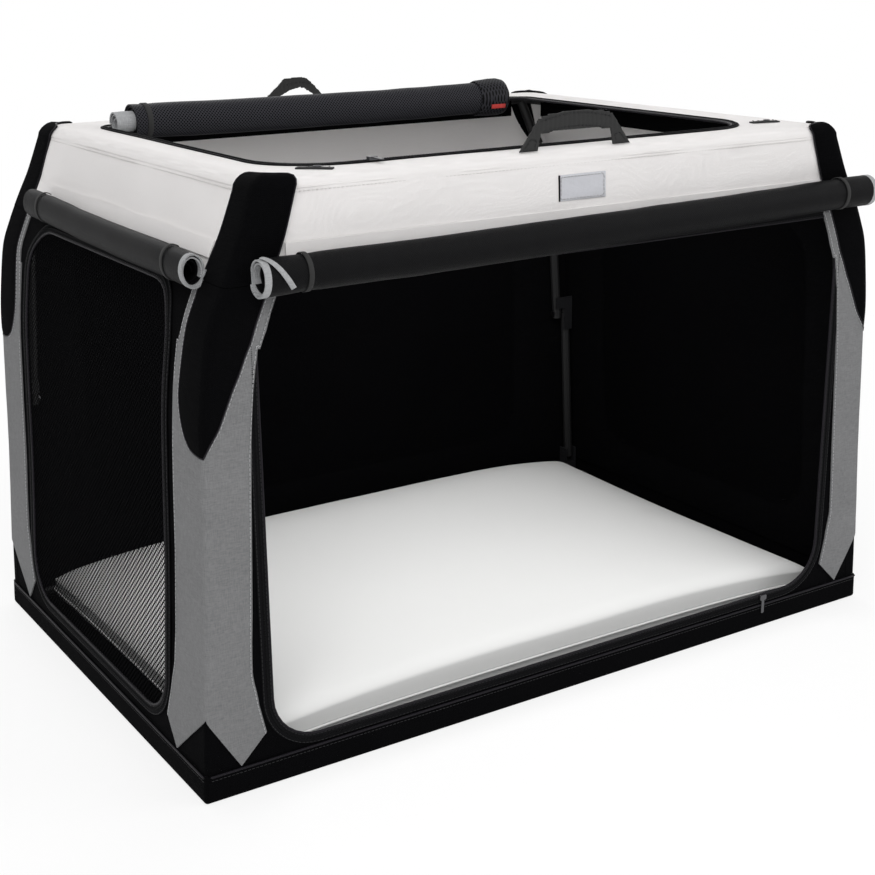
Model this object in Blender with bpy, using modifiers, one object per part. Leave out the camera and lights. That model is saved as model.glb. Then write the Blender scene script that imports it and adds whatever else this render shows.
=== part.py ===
"""Soft folding dog crate on a folding tube frame, in metres, +Z up.

The origin is in the middle of the floor face. X runs along the crate, the front door is at -Y.
The fabric walls lean in towards the roof, so every fabric piece is drawn on upright faces and
then carried onto the leaning envelope: u is the distance in from the end face, v the distance in
from the long face.
"""

import math

import bmesh
import bpy
from mathutils import Matrix, Vector

# Driving dimensions of the whole crate
FLOOR_LENGTH = 1.070
FLOOR_WIDTH = 0.700
ROOF_HEIGHT = 0.710
CAP_HEIGHT = 0.110
ROOF_END_INSET = 0.106
ROOF_SIDE_INSET = 0.004
# How far the end faces have leaned in, as a share of the roof's inset, at shares of the height
LEAN_SHARES = (
    (0.0, 0.0), (0.141, 0.047), (0.352, 0.142), (0.535, 0.198), (0.634, 0.236), (0.704, 0.290),
    (0.775, 0.370), (0.817, 0.480), (0.845, 0.565), (0.873, 0.655), (0.915, 0.790), (1.0, 1.0),
)
SKIRT_HEIGHT = ROOF_HEIGHT - CAP_HEIGHT
ROOF_HALF_LENGTH = FLOOR_LENGTH / 2 - ROOF_END_INSET
ROOF_HALF_WIDTH = FLOOR_WIDTH / 2 - ROOF_SIDE_INSET

# Clearances between pieces
GAP = 0.0003
PIN_CLEARANCE = 0.0003

# Fabric
TRIM_THICKNESS = 0.0018
WALL_THICKNESS = 0.0025
MESH_THICKNESS = 0.0012
FLOOR_SHEET = 0.002
BAND_HEIGHT = 0.036
WALL_LAYER = TRIM_THICKNESS + GAP

# Door and window openings: margins in from the floor's corners, the band and the skirt
FRONT_DOOR_MARGIN = 0.0925
FRONT_DOOR_SILL_RISE = 0.014
FRONT_DOOR_HEAD_DROP = 0.012
FRONT_DOOR_CORNER = 0.060
FRONT_DOOR_TOP_CORNER = 0.015
LEFT_DOOR_MARGIN = 0.112
LEFT_DOOR_SILL_RISE = 0.024
LEFT_DOOR_HEAD_DROP = 0.016
LEFT_DOOR_CORNER = 0.060
MESH_LAP = 0.006
BACK_WINDOW_MARGIN = 0.145
RIGHT_WINDOW_MARGIN = 0.115
WINDOW_SILL_RISE = 0.074
WINDOW_HEAD_DROP = 0.050
WINDOW_CORNER = 0.050
FRONT_DOOR_SILL = BAND_HEIGHT + FRONT_DOOR_SILL_RISE

# Nets: square gaps between strands, inside a plain border
NET_BORDER = 0.014
NET_STRAND = 0.004
DOOR_NET_PITCH = 0.042
WINDOW_NET_PITCH = 0.060

# Corner sleeves: grey strips up both faces of each corner
SLEEVE_FRONT = 0.058
SLEEVE_SIDE = 0.083
SLEEVE_FRONT_TOP = 0.066
SLEEVE_SIDE_TOP = 0.074
SLEEVE_BAND_RISE = 0.0015
SLEEVE_HEEL_RISE = 0.070
SLEEVE_TOE_RISE = 0.034
SLEEVE_FLARE_RISE = 0.1525
SLEEVE_FRONT_FLARE = 0.0205
SLEEVE_SIDE_FLARE = 0.025
SLEEVE_ARROW_FRONT = 0.046
SLEEVE_ARROW_SIDE = 0.081
V_DEPTH = 0.184
PAD_FRONT = 0.052
PAD_SIDE = 0.066
# The V cut's edge: shares of the pad's width, at shares of the height from its tip to the skirt
V_FRONT_SHARES = (
    (0.17, 0.09), (0.33, 0.16), (0.48, 0.27), (0.62, 0.39), (0.73, 0.47), (0.85, 0.58),
    (0.96, 0.68), (1.0, 0.80), (1.0, 1.0),
)
V_SIDE_SHARES = (
    (0.42, 0.010), (0.66, 0.055), (0.83, 0.13), (0.95, 0.23), (1.0, 0.33), (0.98, 0.47),
    (0.93, 0.66), (0.91, 0.80), (0.91, 1.0),
)
# Inner edges of the grey strips beside the V cut, from their full width to their top width
STRIP_SHARES = ((0.0, 0.48), (0.5, 0.62), (1.0, 0.74), (1.0, 1.0))
# The outer edge of the flared foot, between the toe and the top of the flare
FLARE_SHARES = (0.33, 0.47)
PAD_TIP_HEIGHT = SKIRT_HEIGHT - V_DEPTH

# Corner pads above the skirt's lower edge
PAD_FRONT_TOP = 0.046
PAD_SIDE_TOP = 0.050
PAD_ROOF_LAP = 0.013
# The rounded inner edge of the pad's lap on the roof, in shares of the lap
LAP_SHARES = (0.33, 0.67)

# Roof opening: margins in from the roof's edges
OPENING_LEFT_MARGIN = 0.055
OPENING_RIGHT_MARGIN = 0.091
OPENING_FRONT_MARGIN = 0.054
OPENING_BACK_MARGIN = 0.098
OPENING_FRONT_CORNER = 0.080
OPENING_BACK_CORNER = 0.020
RIM_WIDTH = 0.009
RIM_THICKNESS = 0.0015
RIM_OVERHANG = 0.001
OPENING_LEFT = OPENING_LEFT_MARGIN - ROOF_HALF_LENGTH
OPENING_RIGHT = ROOF_HALF_LENGTH - OPENING_RIGHT_MARGIN
OPENING_FRONT = OPENING_FRONT_MARGIN - ROOF_HALF_WIDTH
OPENING_BACK = ROOF_HALF_WIDTH - OPENING_BACK_MARGIN
RIM_TOP = ROOF_HEIGHT + GAP + RIM_THICKNESS

# Label patch and zip tabs
LABEL_LENGTH = 0.071
LABEL_HEIGHT = 0.031
LABEL_RISE = 0.050
LABEL_THICKNESS = 0.0012
TAB_LENGTH = 0.042
TAB_WIDTH = 0.011
TAB_THICKNESS = 0.0018
TAB_CORNER = 0.003
LEFT_TAB_ANGLE = -0.72
LEFT_TAB_INSET = 0.030
LEFT_TAB_STAND_OFF = 0.020
RIGHT_TAB_ANGLE = -0.20
RIGHT_TAB_STAND_OFF = 0.036
RIGHT_TAB_INSET = 0.024

# Zip sliders: the pull of the front one hangs clear of the tray's band
SLIDER_LENGTH = 0.012
SLIDER_WIDTH = 0.008
SLIDER_CORNER = 0.002
PULL_LENGTH = 0.022
PULL_WIDTH = 0.005
PULL_CORNER = 0.0015
PULL_THICKNESS = 0.0010
PULL_CLEARANCE = 0.0004
ROOF_SLIDER_INSET = 0.112
FRONT_SLIDER_INSET = 0.1025
SLIDER_THICKNESS = WALL_LAYER + 3 * PULL_THICKNESS / 2 + PULL_CLEARANCE

# Tube frame
TUBE_RADIUS = 0.008
BASE_FRAME_INSET = 0.020
BASE_FRAME_CORNER = 0.020
TOP_FRAME_INSET = 0.017
TOP_FRAME_CORNER = 0.014
FRAME_CLEARANCE = 0.0029
POST_END = 0.008
POST_CLEARANCE = 0.0104
BASE_POST_INSET = 0.0205
KNEE_POST_INSET = 0.017
TOP_POST_INSET = 0.020
TOP_PIVOT_CLEARANCE = 0.007
LEG_BEND_RISE = 0.003
KNEE_CLEARANCE = 0.0025
TUBE_TURN_STEPS = 4
BASE_FRAME_HALF_LENGTH = FLOOR_LENGTH / 2 - BASE_FRAME_INSET
TOP_FRAME_HALF_LENGTH = ROOF_HALF_LENGTH - TOP_FRAME_INSET
WALL_DEPTH = WALL_LAYER + WALL_THICKNESS + GAP + MESH_THICKNESS
FRAME_HALF_WIDTH = FLOOR_WIDTH / 2 - WALL_DEPTH - FRAME_CLEARANCE - TUBE_RADIUS
KNEE_SPACING = 2 * TUBE_RADIUS + KNEE_CLEARANCE

# Hinge hardware
PIN_RADIUS = 0.003
PIN_HEAD_RADIUS = 0.0048
PIN_HEAD = 0.0015
PIN_SIDES = 10
EAR_THICKNESS = 0.0025
EAR_CLEARANCE = 0.0007
EAR_WIDTH = 0.020
EAR_RISE = 0.009
BRACKET_FLOOR = 0.013
STOP_THICKNESS = 0.0025
STOP_REACH = 0.030
STOP_RELIEF = 0.010
BRACKET_FOOT = FLOOR_SHEET + 2 * GAP + 2 * TUBE_RADIUS
BASE_PIVOT_HEIGHT = BRACKET_FOOT + BRACKET_FLOOR + POST_END + POST_CLEARANCE
TOP_PIVOT_HEIGHT = SKIRT_HEIGHT - POST_END - TOP_PIVOT_CLEARANCE
KNEE_HEIGHT = (BASE_PIVOT_HEIGHT + TOP_PIVOT_HEIGHT) / 2

# Floor mat, lying inside the base frame
MAT_CLEARANCE = 0.001
MAT_END_CLEARANCE = 0.0092
MAT_EDGE_THICKNESS = 0.050
MAT_CROWN = 0.033
MAT_SHOULDER_SHARE = 0.3
MAT_DRAW_IN = 0.006
MAT_CELLS_LONG = 10
MAT_CELLS_ACROSS = 6
MAT_HALF_LENGTH = BASE_FRAME_HALF_LENGTH - TUBE_RADIUS - MAT_END_CLEARANCE
MAT_HALF_WIDTH = FRAME_HALF_WIDTH - TUBE_RADIUS - MAT_CLEARANCE

# Rolled covers: the seams of both door covers lie at one height above the skirt's lower edge
SHEET_THICKNESS = 0.0026
ROLL_EYE_RADIUS = 0.0035
ROLL_TURNS = 4
ROOF_ROLL_TURNS = 5
ROLL_STEPS_PER_TURN = 18
SEAM_RISE = 0.040
FRONT_ROLL_DROP = 0.0232
FRONT_ROLL_RADIUS = 0.0205
FRONT_ROLL_SLOPE = 0.0137
FRONT_ROLL_LEFT_LAP = 0.0045
FRONT_ROLL_RIGHT_LAP = 0.0295
LEFT_ROLL_DROP = 0.0255
LEFT_ROLL_RADIUS = 0.0195
LEFT_ROLL_HALF_WIDTH = 0.0160
LEFT_ROLL_CLEARANCE = 0.0012
LEFT_ROLL_FRONT_MARGIN = 0.055
LEFT_ROLL_BACK_MARGIN = 0.110
ROOF_ROLL_RADIUS = 0.0245
ROOF_ROLL_RISE = 0.0075
ROOF_ROLL_LEFT_INSET = 0.031
ROOF_ROLL_RIGHT_INSET = 0.051
ROOF_ROLL_SEAM_LAP = 0.012
SEAM_HEIGHT = SKIRT_HEIGHT + SEAM_RISE
FRONT_ROLL_HEIGHT = SEAM_HEIGHT - FRONT_ROLL_DROP
LEFT_ROLL_HEIGHT = SEAM_HEIGHT - LEFT_ROLL_DROP
FRONT_ROLL_LEFT = FRONT_DOOR_MARGIN - FLOOR_LENGTH / 2 - FRONT_ROLL_LEFT_LAP
FRONT_ROLL_RIGHT = FLOOR_LENGTH / 2 - FRONT_DOOR_MARGIN + FRONT_ROLL_RIGHT_LAP
LEFT_ROLL_FRONT = LEFT_ROLL_FRONT_MARGIN - FLOOR_WIDTH / 2
LEFT_ROLL_BACK = FLOOR_WIDTH / 2 - LEFT_ROLL_BACK_MARGIN
ROOF_ROLL_LEFT = OPENING_LEFT + ROOF_ROLL_LEFT_INSET
ROOF_ROLL_RIGHT = OPENING_RIGHT - ROOF_ROLL_RIGHT_INSET

# Elastic loops and straps round the rolls: the angles that they cover, in degrees
LOOP_THICKNESS = 0.0010
LOOP_WIDTH = 0.006
LOOP_INSET = 0.055
FRONT_LOOP_ANGLES = (55, 320)
LEFT_LOOP_ANGLES = (70, 290)
STRAP_WIDTH_LEFT = 0.022
STRAP_WIDTH_RIGHT = 0.038
STRAP_THICKNESS = 0.0014
STRAP_INSET = 0.010
STRAP_ANGLES = (35, 300)
BAND_STEPS = 14

# Carry handles, flat arches of webbing: half the span over the feet, a foot's width, half the
# top's span outside and inside, the rise of its ends, its bow, and the band's width and bow
FRONT_ARCH = (0.0835, 0.022, 0.052, 0.046, 0.037, 0.008, 0.020, 0.004)
REAR_ARCH = (0.059, 0.0145, 0.020, 0.005, 0.0430, 0.002, 0.0150, 0.0015)
HANDLE_THICKNESS = 0.0022
HANDLE_LIFT = 0.0006
HANDLE_PIVOT_RISE = 0.0025
HANDLE_INSET = 0.010
FRONT_HANDLE_X = -0.003
REAR_HANDLE_X = -0.022
ARCH_STEPS = 8
PLATE_STEPS = 2

CORNERS = (("left", -1), ("right", 1))
LONG_SIDES = (("front", -1), ("back", 1))

# One overrun for every cutter
OVERRUN = 0.010
WELD = 0.00001

COLOURS = {
    "black_fabric": ((0.012, 0.012, 0.014), 0.85, 0.0),
    "black_mesh": ((0.010, 0.010, 0.012), 0.80, 0.0),
    "grey_fabric": ((0.250, 0.255, 0.262), 0.90, 0.0),
    "white_fabric": ((0.780, 0.755, 0.740), 0.75, 0.0),
    "roll_fabric": ((0.045, 0.045, 0.050), 0.55, 0.0),
    "fleece": ((0.720, 0.720, 0.715), 0.95, 0.0),
    "webbing": ((0.014, 0.014, 0.015), 0.70, 0.0),
    "steel_tube": ((0.030, 0.030, 0.032), 0.35, 0.2),
    "zinc": ((0.550, 0.550, 0.560), 0.30, 1.0),
    "label": ((0.560, 0.560, 0.580), 0.60, 0.0),
    "moulding": ((0.020, 0.020, 0.022), 0.45, 0.0),
}

parts = bpy.data.collections.new("soft_folding_dog_crate")
cutters = bpy.data.collections.new("cutters")


def clear_scene():
    for obj in list(bpy.data.objects):
        bpy.data.objects.remove(obj, do_unlink=True)
    for group in (parts, cutters):
        bpy.context.scene.collection.children.link(group)


def material(slot):
    """The shared Principled material of a slot."""
    found = bpy.data.materials.get(slot)
    if found:
        return found
    colour, roughness, metallic = COLOURS[slot]
    made = bpy.data.materials.new(slot)
    made.use_nodes = True
    shader = made.node_tree.nodes["Principled BSDF"]
    shader.inputs["Base Color"].default_value = (*colour, 1.0)
    shader.inputs["Roughness"].default_value = roughness
    shader.inputs["Metallic"].default_value = metallic
    return made


def half_length(z):
    """Half the crate's length at a height: the end faces lean in towards the roof."""
    share = min(max(z / ROOF_HEIGHT, 0.0), 1.0)
    for (z0, in0), (z1, in1) in zip(LEAN_SHARES, LEAN_SHARES[1:]):
        if share <= z1:
            inset = in0 + (in1 - in0) * (share - z0) / (z1 - z0)
            return FLOOR_LENGTH / 2 - ROOF_END_INSET * inset
    return FLOOR_LENGTH / 2 - ROOF_END_INSET


def half_width(z):
    """Half the crate's width at a height."""
    share = min(max((z - SKIRT_HEIGHT) / CAP_HEIGHT, 0.0), 1.0)
    return FLOOR_WIDTH / 2 - ROOF_SIDE_INSET * share


def add_object(name, mesh, slot=None):
    obj = bpy.data.objects.new(name, mesh)
    if slot:
        parts.objects.link(obj)
        mesh.materials.clear()
        mesh.materials.append(material(slot))
    else:
        cutters.objects.link(obj)
        obj.hide_render = True
        obj.display_type = "WIRE"
    return obj


def mesh_from(bm, name):
    """The finished mesh of a piece, its faces pointing out."""
    mesh = bpy.data.meshes.new(name)
    bmesh.ops.recalc_face_normals(bm, faces=bm.faces)
    closed = all(edge.is_manifold for edge in bm.edges)
    if closed and bm.calc_volume(signed=True) < 0:
        bmesh.ops.reverse_faces(bm, faces=bm.faces)
    bm.to_mesh(mesh)
    bm.free()
    return mesh


def curve_mesh(curve):
    """The mesh of a curve, with its loose caps welded on."""
    carrier = bpy.data.objects.new("carrier", curve)
    cutters.objects.link(carrier)
    bpy.context.view_layer.update()
    evaluated = carrier.evaluated_get(bpy.context.evaluated_depsgraph_get())
    mesh = bpy.data.meshes.new_from_object(evaluated)
    bpy.data.objects.remove(carrier, do_unlink=True)
    bm = bmesh.new()
    bm.from_mesh(mesh)
    bmesh.ops.remove_doubles(bm, verts=bm.verts, dist=WELD)
    bpy.data.meshes.remove(mesh)
    return bm


def flat_outline(outlines, thickness):
    """A flat piece in the XY plane, centred on it: the first outline with the others as holes."""
    curve = bpy.data.curves.new("outline", "CURVE")
    curve.dimensions = "2D"
    curve.fill_mode = "BOTH"
    curve.extrude = thickness / 2
    for points in outlines:
        spline = curve.splines.new("POLY")
        spline.points.add(len(points) - 1)
        for knot, (x, y) in zip(spline.points, points):
            knot.co = (x, y, 0.0, 1.0)
        spline.use_cyclic_u = True
    return curve_mesh(curve)


def stand_up(bm, along, level):
    """Turns a flat piece so that its second axis points up, its first runs along X or Y."""
    if along == "x":
        turn = Matrix.Rotation(math.pi / 2, 4, "X")
        move = Matrix.Translation((0.0, level, 0.0))
    else:
        turn = Matrix.Rotation(math.pi / 2, 4, "Z") @ Matrix.Rotation(math.pi / 2, 4, "X")
        move = Matrix.Translation((level, 0.0, 0.0))
    bmesh.ops.transform(bm, matrix=move @ turn, verts=bm.verts)
    return bm


def rounded_rectangle(x0, y0, x1, y1, radii, steps=6):
    """Corners in the order bottom left, bottom right, top right, top left."""
    centres = ((x0, y0, 1, 1), (x1, y0, -1, 1), (x1, y1, -1, -1), (x0, y1, 1, -1))
    points = []
    for quarter, ((x, y, sx, sy), radius) in enumerate(zip(centres, radii)):
        centre = (x + sx * radius, y + sy * radius)
        start = math.pi + quarter * math.pi / 2
        for step in range(steps + 1):
            angle = start + step * math.pi / 2 / steps
            points.append((centre[0] + radius * math.cos(angle), centre[1] + radius * math.sin(angle)))
    return points


def cut_at_stations(bm):
    """Cuts level edges wherever the envelope's slope changes, so that the piece can follow it."""
    stations = [ROOF_HEIGHT * share for share, _ in LEAN_SHARES] + [SKIRT_HEIGHT]
    heights = [vert.co.z for vert in bm.verts]
    for z in sorted(stations):
        if min(heights) + WELD < z < max(heights) - WELD:
            bmesh.ops.bisect_plane(
                bm, geom=bm.verts[:] + bm.edges[:] + bm.faces[:], dist=WELD / 10,
                plane_co=(0.0, 0.0, z), plane_no=(0.0, 0.0, 1.0),
            )


def lean_on_envelope(bm, end=0, side=0):
    """Carries a piece drawn as (u, v, z) or as (x, v, z) or (u, y, z) onto the leaning envelope.

    end is -1 or +1 where the first number is the distance in from that end face, side the same
    for the second number and the long faces. Zero leaves that number as it is.
    """
    cut_at_stations(bm)
    for vert in bm.verts:
        u, v, z = vert.co
        x = end * (half_length(z) - u) if end else u
        y = side * (half_width(z) - v) if side else v
        vert.co = (x, y, z)
    return bm


def box_mesh(low, high):
    bm = bmesh.new()
    size = Vector(high) - Vector(low)
    middle = (Vector(high) + Vector(low)) / 2
    bmesh.ops.create_cube(bm, size=1.0, matrix=Matrix.Translation(middle) @ Matrix.Diagonal((*size, 1.0)))
    return bm


def cylinder_x(centre, radius, length, sides):
    """A round bar along X."""
    bm = bmesh.new()
    turn = Matrix.Translation(centre) @ Matrix.Rotation(math.pi / 2, 4, "Y")
    bmesh.ops.create_cone(
        bm, cap_ends=True, segments=sides, radius1=radius, radius2=radius, depth=length, matrix=turn
    )
    return bm


def boolean(obj, cutter_bm, operation):
    """Applies one exact Boolean and leaves the object with the result as its plain mesh."""
    cutter = add_object("cutter", mesh_from(cutter_bm, "cutter"))
    step = obj.modifiers.new("cut", "BOOLEAN")
    step.operation = operation
    step.solver = "EXACT"
    step.object = cutter
    keep_result(obj)
    bpy.data.objects.remove(cutter, do_unlink=True)


def keep_result(obj):
    bpy.context.view_layer.update()
    evaluated = obj.evaluated_get(bpy.context.evaluated_depsgraph_get())
    mesh = bpy.data.meshes.new_from_object(evaluated)
    obj.modifiers.clear()
    obj.data = mesh


def tube(points, radius, closed=False, resolution=3):
    curve = bpy.data.curves.new("tube", "CURVE")
    curve.dimensions = "3D"
    curve.bevel_depth = radius
    curve.bevel_resolution = resolution
    curve.use_fill_caps = True
    spline = curve.splines.new("POLY")
    spline.points.add(len(points) - 1)
    for knot, point in zip(spline.points, points):
        knot.co = (*point, 1.0)
    spline.use_cyclic_u = closed
    return curve_mesh(curve)


# The floor


def make_base_tray():
    """A shallow black tray: the bottom sheet and the band that the walls are sewn to."""
    bm = box_mesh(
        (-FLOOR_LENGTH / 2, -FLOOR_WIDTH / 2, 0.0), (FLOOR_LENGTH / 2, FLOOR_WIDTH / 2, BAND_HEIGHT)
    )
    for vert in bm.verts:
        vert.co.x *= half_length(vert.co.z) / half_length(0.0)
    tray = add_object("base_tray", mesh_from(bm, "base_tray"), "black_fabric")
    hollow = box_mesh(
        (WALL_THICKNESS - FLOOR_LENGTH / 2, WALL_THICKNESS - FLOOR_WIDTH / 2, FLOOR_SHEET),
        (FLOOR_LENGTH / 2 - WALL_THICKNESS, FLOOR_WIDTH / 2 - WALL_THICKNESS, BAND_HEIGHT + OVERRUN),
    )
    for vert in hollow.verts:
        lean = half_length(0.0) - half_length(vert.co.z)
        vert.co.x -= math.copysign(lean, vert.co.x)
    boolean(tray, hollow, "DIFFERENCE")


def make_base_frame():
    level = FLOOR_SHEET + GAP + TUBE_RADIUS
    outline = rounded_rectangle(
        -BASE_FRAME_HALF_LENGTH, -FRAME_HALF_WIDTH, BASE_FRAME_HALF_LENGTH, FRAME_HALF_WIDTH,
        [BASE_FRAME_CORNER] * 4, TUBE_TURN_STEPS,
    )
    bm = tube([(x, y, level) for x, y in outline], TUBE_RADIUS, closed=True)
    add_object("base_frame", mesh_from(bm, "base_frame"), "steel_tube")


def make_mat():
    """A thick fleece mat: highest in its middle, its sides drawn in between the corners.

    Its ends are low, because the folded posts lie down over them.
    """
    bm = bmesh.new()
    bmesh.ops.create_grid(bm, x_segments=MAT_CELLS_LONG, y_segments=MAT_CELLS_ACROSS, size=0.5)
    raised = bmesh.ops.extrude_face_region(bm, geom=bm.faces[:])
    top = [item for item in raised["geom"] if isinstance(item, bmesh.types.BMVert)]
    bmesh.ops.translate(bm, vec=(0.0, 0.0, MAT_EDGE_THICKNESS), verts=top)
    floor = FLOOR_SHEET + GAP
    for vert in bm.verts:
        across, along = 2 * vert.co.y, 2 * vert.co.x
        draw_x = MAT_DRAW_IN * (1 - across * across)
        draw_y = MAT_DRAW_IN * (1 - along * along)
        crown = MAT_CROWN * (1 - along ** 4) * (1 - MAT_SHOULDER_SHARE * across ** 6)
        rise = vert.co.z / MAT_EDGE_THICKNESS
        vert.co.x = along * (MAT_HALF_LENGTH - draw_x)
        vert.co.y = across * (MAT_HALF_WIDTH - draw_y)
        vert.co.z = floor + vert.co.z + rise * crown
    mat = add_object("fleece_mat", mesh_from(bm, "fleece_mat"), "fleece")
    soft = mat.modifiers.new("soft", "SUBSURF")
    soft.levels = 1
    soft.render_levels = 1
    mat.data.shade_smooth()


# The walls


def front_door_outline():
    half = FLOOR_LENGTH / 2 - FRONT_DOOR_MARGIN
    head = SKIRT_HEIGHT - FRONT_DOOR_HEAD_DROP
    low, high = FRONT_DOOR_CORNER, FRONT_DOOR_TOP_CORNER
    return rounded_rectangle(-half, FRONT_DOOR_SILL, half, head, (low, low, high, high))


def left_door_outline(lap=0.0):
    half = FLOOR_WIDTH / 2 - LEFT_DOOR_MARGIN + lap
    sill = BAND_HEIGHT + LEFT_DOOR_SILL_RISE - lap
    head = SKIRT_HEIGHT - LEFT_DOOR_HEAD_DROP + lap
    return rounded_rectangle(-half, sill, half, head, [LEFT_DOOR_CORNER + lap] * 4)


def window_outline(half, lap=0.0):
    """A window of the back or right wall, with the lap of what covers it added all round."""
    sill = BAND_HEIGHT + WINDOW_SILL_RISE - lap
    head = SKIRT_HEIGHT - WINDOW_HEAD_DROP + lap
    return rounded_rectangle(-half - lap, sill, half + lap, head, [WINDOW_CORNER + lap] * 4)


def make_long_wall(name, side, hole):
    """A front or back wall: its ends follow the lean of the crate's corners."""
    level = WALL_LAYER + WALL_THICKNESS / 2
    bottom = BAND_HEIGHT + GAP
    top = SKIRT_HEIGHT - GAP
    half = half_length(0.0) - WALL_LAYER - WALL_THICKNESS - GAP
    outline = ((-half, bottom), (half, bottom), (half, top), (-half, top))
    bm = stand_up(flat_outline((outline, hole), WALL_THICKNESS), "x", level)
    cut_at_stations(bm)
    for vert in bm.verts:
        x, v, z = vert.co
        if abs(x) > half - WELD:
            x = math.copysign(half - half_length(0.0) + half_length(z), x)
        vert.co = (x, side * (half_width(z) - v), z)
    add_object(name, mesh_from(bm, name), "black_fabric")


def make_end_wall(name, end, hole):
    level = WALL_LAYER + WALL_THICKNESS / 2
    bottom = BAND_HEIGHT + GAP
    top = SKIRT_HEIGHT - GAP
    half = FLOOR_WIDTH / 2 - WALL_LAYER
    outline = ((-half, bottom), (half, bottom), (half, top), (-half, top))
    bm = stand_up(flat_outline((outline, hole), WALL_THICKNESS), "y", level)
    lean_on_envelope(bm, end=end)
    add_object(name, mesh_from(bm, name), "black_fabric")


def make_walls():
    make_long_wall("front_wall", -1, front_door_outline())
    make_long_wall("back_wall", 1, window_outline(FLOOR_LENGTH / 2 - BACK_WINDOW_MARGIN))
    make_end_wall("left_wall", -1, left_door_outline())
    make_end_wall("right_wall", 1, window_outline(FLOOR_WIDTH / 2 - RIGHT_WINDOW_MARGIN))


def left_net_depth():
    """The middle of the left door's net, in from the envelope."""
    return WALL_LAYER - GAP - MESH_THICKNESS / 2


def net_sheet(outline, pitch, corner):
    """A flat net: square gaps on a grid, none of them in the plain border or its rounded corners."""
    low = Vector((min(x for x, _ in outline), min(y for _, y in outline)))
    high = Vector((max(x for x, _ in outline), max(y for _, y in outline)))
    centre, reach = (low + high) / 2, (high - low) / 2 - Vector((NET_BORDER, NET_BORDER))
    across, up = (int(2 * size // pitch) for size in reach)
    half_gap = (pitch - NET_STRAND) / 2
    holes = []
    for column in range(across):
        for row in range(up):
            x = (column - (across - 1) / 2) * pitch
            y = (row - (up - 1) / 2) * pitch
            past_x = abs(x) + half_gap - (reach.x - corner)
            past_y = abs(y) + half_gap - (reach.y - corner)
            if past_x > 0 and past_y > 0 and math.hypot(past_x, past_y) > corner:
                continue
            left, right = centre.x + x - half_gap, centre.x + x + half_gap
            bottom, top = centre.y + y - half_gap, centre.y + y + half_gap
            holes.append(((left, bottom), (right, bottom), (right, top), (left, top)))
    return flat_outline((outline, *holes), MESH_THICKNESS)


def make_mesh_panels():
    """The back and right windows' nets lie inside their walls, the left door's net outside its wall."""
    inside = WALL_DEPTH - MESH_THICKNESS / 2
    lapped = window_outline(FLOOR_LENGTH / 2 - BACK_WINDOW_MARGIN, MESH_LAP)
    bm = stand_up(net_sheet(lapped, WINDOW_NET_PITCH, WINDOW_CORNER), "x", inside)
    lean_on_envelope(bm, side=1)
    add_object("back_window_net", mesh_from(bm, "back_window_net"), "black_mesh")

    lapped = window_outline(FLOOR_WIDTH / 2 - RIGHT_WINDOW_MARGIN, MESH_LAP)
    bm = stand_up(net_sheet(lapped, WINDOW_NET_PITCH, WINDOW_CORNER), "y", inside)
    lean_on_envelope(bm, end=1)
    add_object("right_window_net", mesh_from(bm, "right_window_net"), "black_mesh")

    bm = net_sheet(left_door_outline(MESH_LAP), DOOR_NET_PITCH, LEFT_DOOR_CORNER)
    stand_up(bm, "y", left_net_depth())
    lean_on_envelope(bm, end=-1)
    add_object("left_mesh_door", mesh_from(bm, "left_mesh_door"), "black_mesh")


def make_window_covers():
    """A cover is zipped shut in the hole of each window's wall, outside its net."""
    level = WALL_LAYER + WALL_THICKNESS / 2
    cover = flat_outline((window_outline(FLOOR_LENGTH / 2 - BACK_WINDOW_MARGIN, -GAP),), WALL_THICKNESS)
    bm = lean_on_envelope(stand_up(cover, "x", level), side=1)
    add_object("back_window_cover", mesh_from(bm, "back_window_cover"), "black_fabric")

    cover = flat_outline((window_outline(FLOOR_WIDTH / 2 - RIGHT_WINDOW_MARGIN, -GAP),), WALL_THICKNESS)
    bm = lean_on_envelope(stand_up(cover, "y", level), end=1)
    add_object("right_window_cover", mesh_from(bm, "right_window_cover"), "black_fabric")


# Corner sleeves and pads


def v_cut(shares, width):
    """The pad's edge from its tip up to the skirt, without the tip itself."""
    rise = SKIRT_HEIGHT - GAP - PAD_TIP_HEIGHT
    return [(width * across, PAD_TIP_HEIGHT + rise * up) for across, up in shares]


def sleeve_outline(width, top_width, flare, arrow, v_shares, pad_width):
    """One face of a grey sleeve as (distance in from the corner, height)."""
    bottom = BAND_HEIGHT + SLEEVE_BAND_RISE
    toe, flare_top = bottom + SLEEVE_TOE_RISE, bottom + SLEEVE_FLARE_RISE
    out, up = FLARE_SHARES
    foot = [
        (0.0, bottom + SLEEVE_HEEL_RISE),
        (arrow, bottom),
        (width + flare, toe),
        (width + flare * out, toe + (flare_top - toe) * up),
        (width, flare_top),
    ]
    rise = SKIRT_HEIGHT - GAP - PAD_TIP_HEIGHT
    edge = [
        (width + (top_width - width) * across, PAD_TIP_HEIGHT + rise * up) for across, up in STRIP_SHARES
    ]
    cut = v_cut(v_shares, pad_width)
    return foot + edge + cut[::-1] + [(0.0, PAD_TIP_HEIGHT)]


def corner_shell(front, side):
    """Two flat faces that meet in the corner edge, joined, as (u, v, z)."""
    level = TRIM_THICKNESS / 2
    bm = stand_up(flat_outline((front,), TRIM_THICKNESS), "x", level)
    shell = add_object("shell", mesh_from(bm, "shell"))
    boolean(shell, stand_up(flat_outline((side,), TRIM_THICKNESS), "y", level), "UNION")
    return shell


def place_on_corners(shell, name, slot):
    """Carries a corner piece onto all four corners and removes the pattern."""
    for face, side in LONG_SIDES:
        for label, end in CORNERS:
            bm = bmesh.new()
            bm.from_mesh(shell.data)
            lean_on_envelope(bm, end=end, side=side)
            node = f"{face}_{label}_{name}"
            add_object(node, mesh_from(bm, node), slot)
    bpy.data.objects.remove(shell, do_unlink=True)


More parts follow.
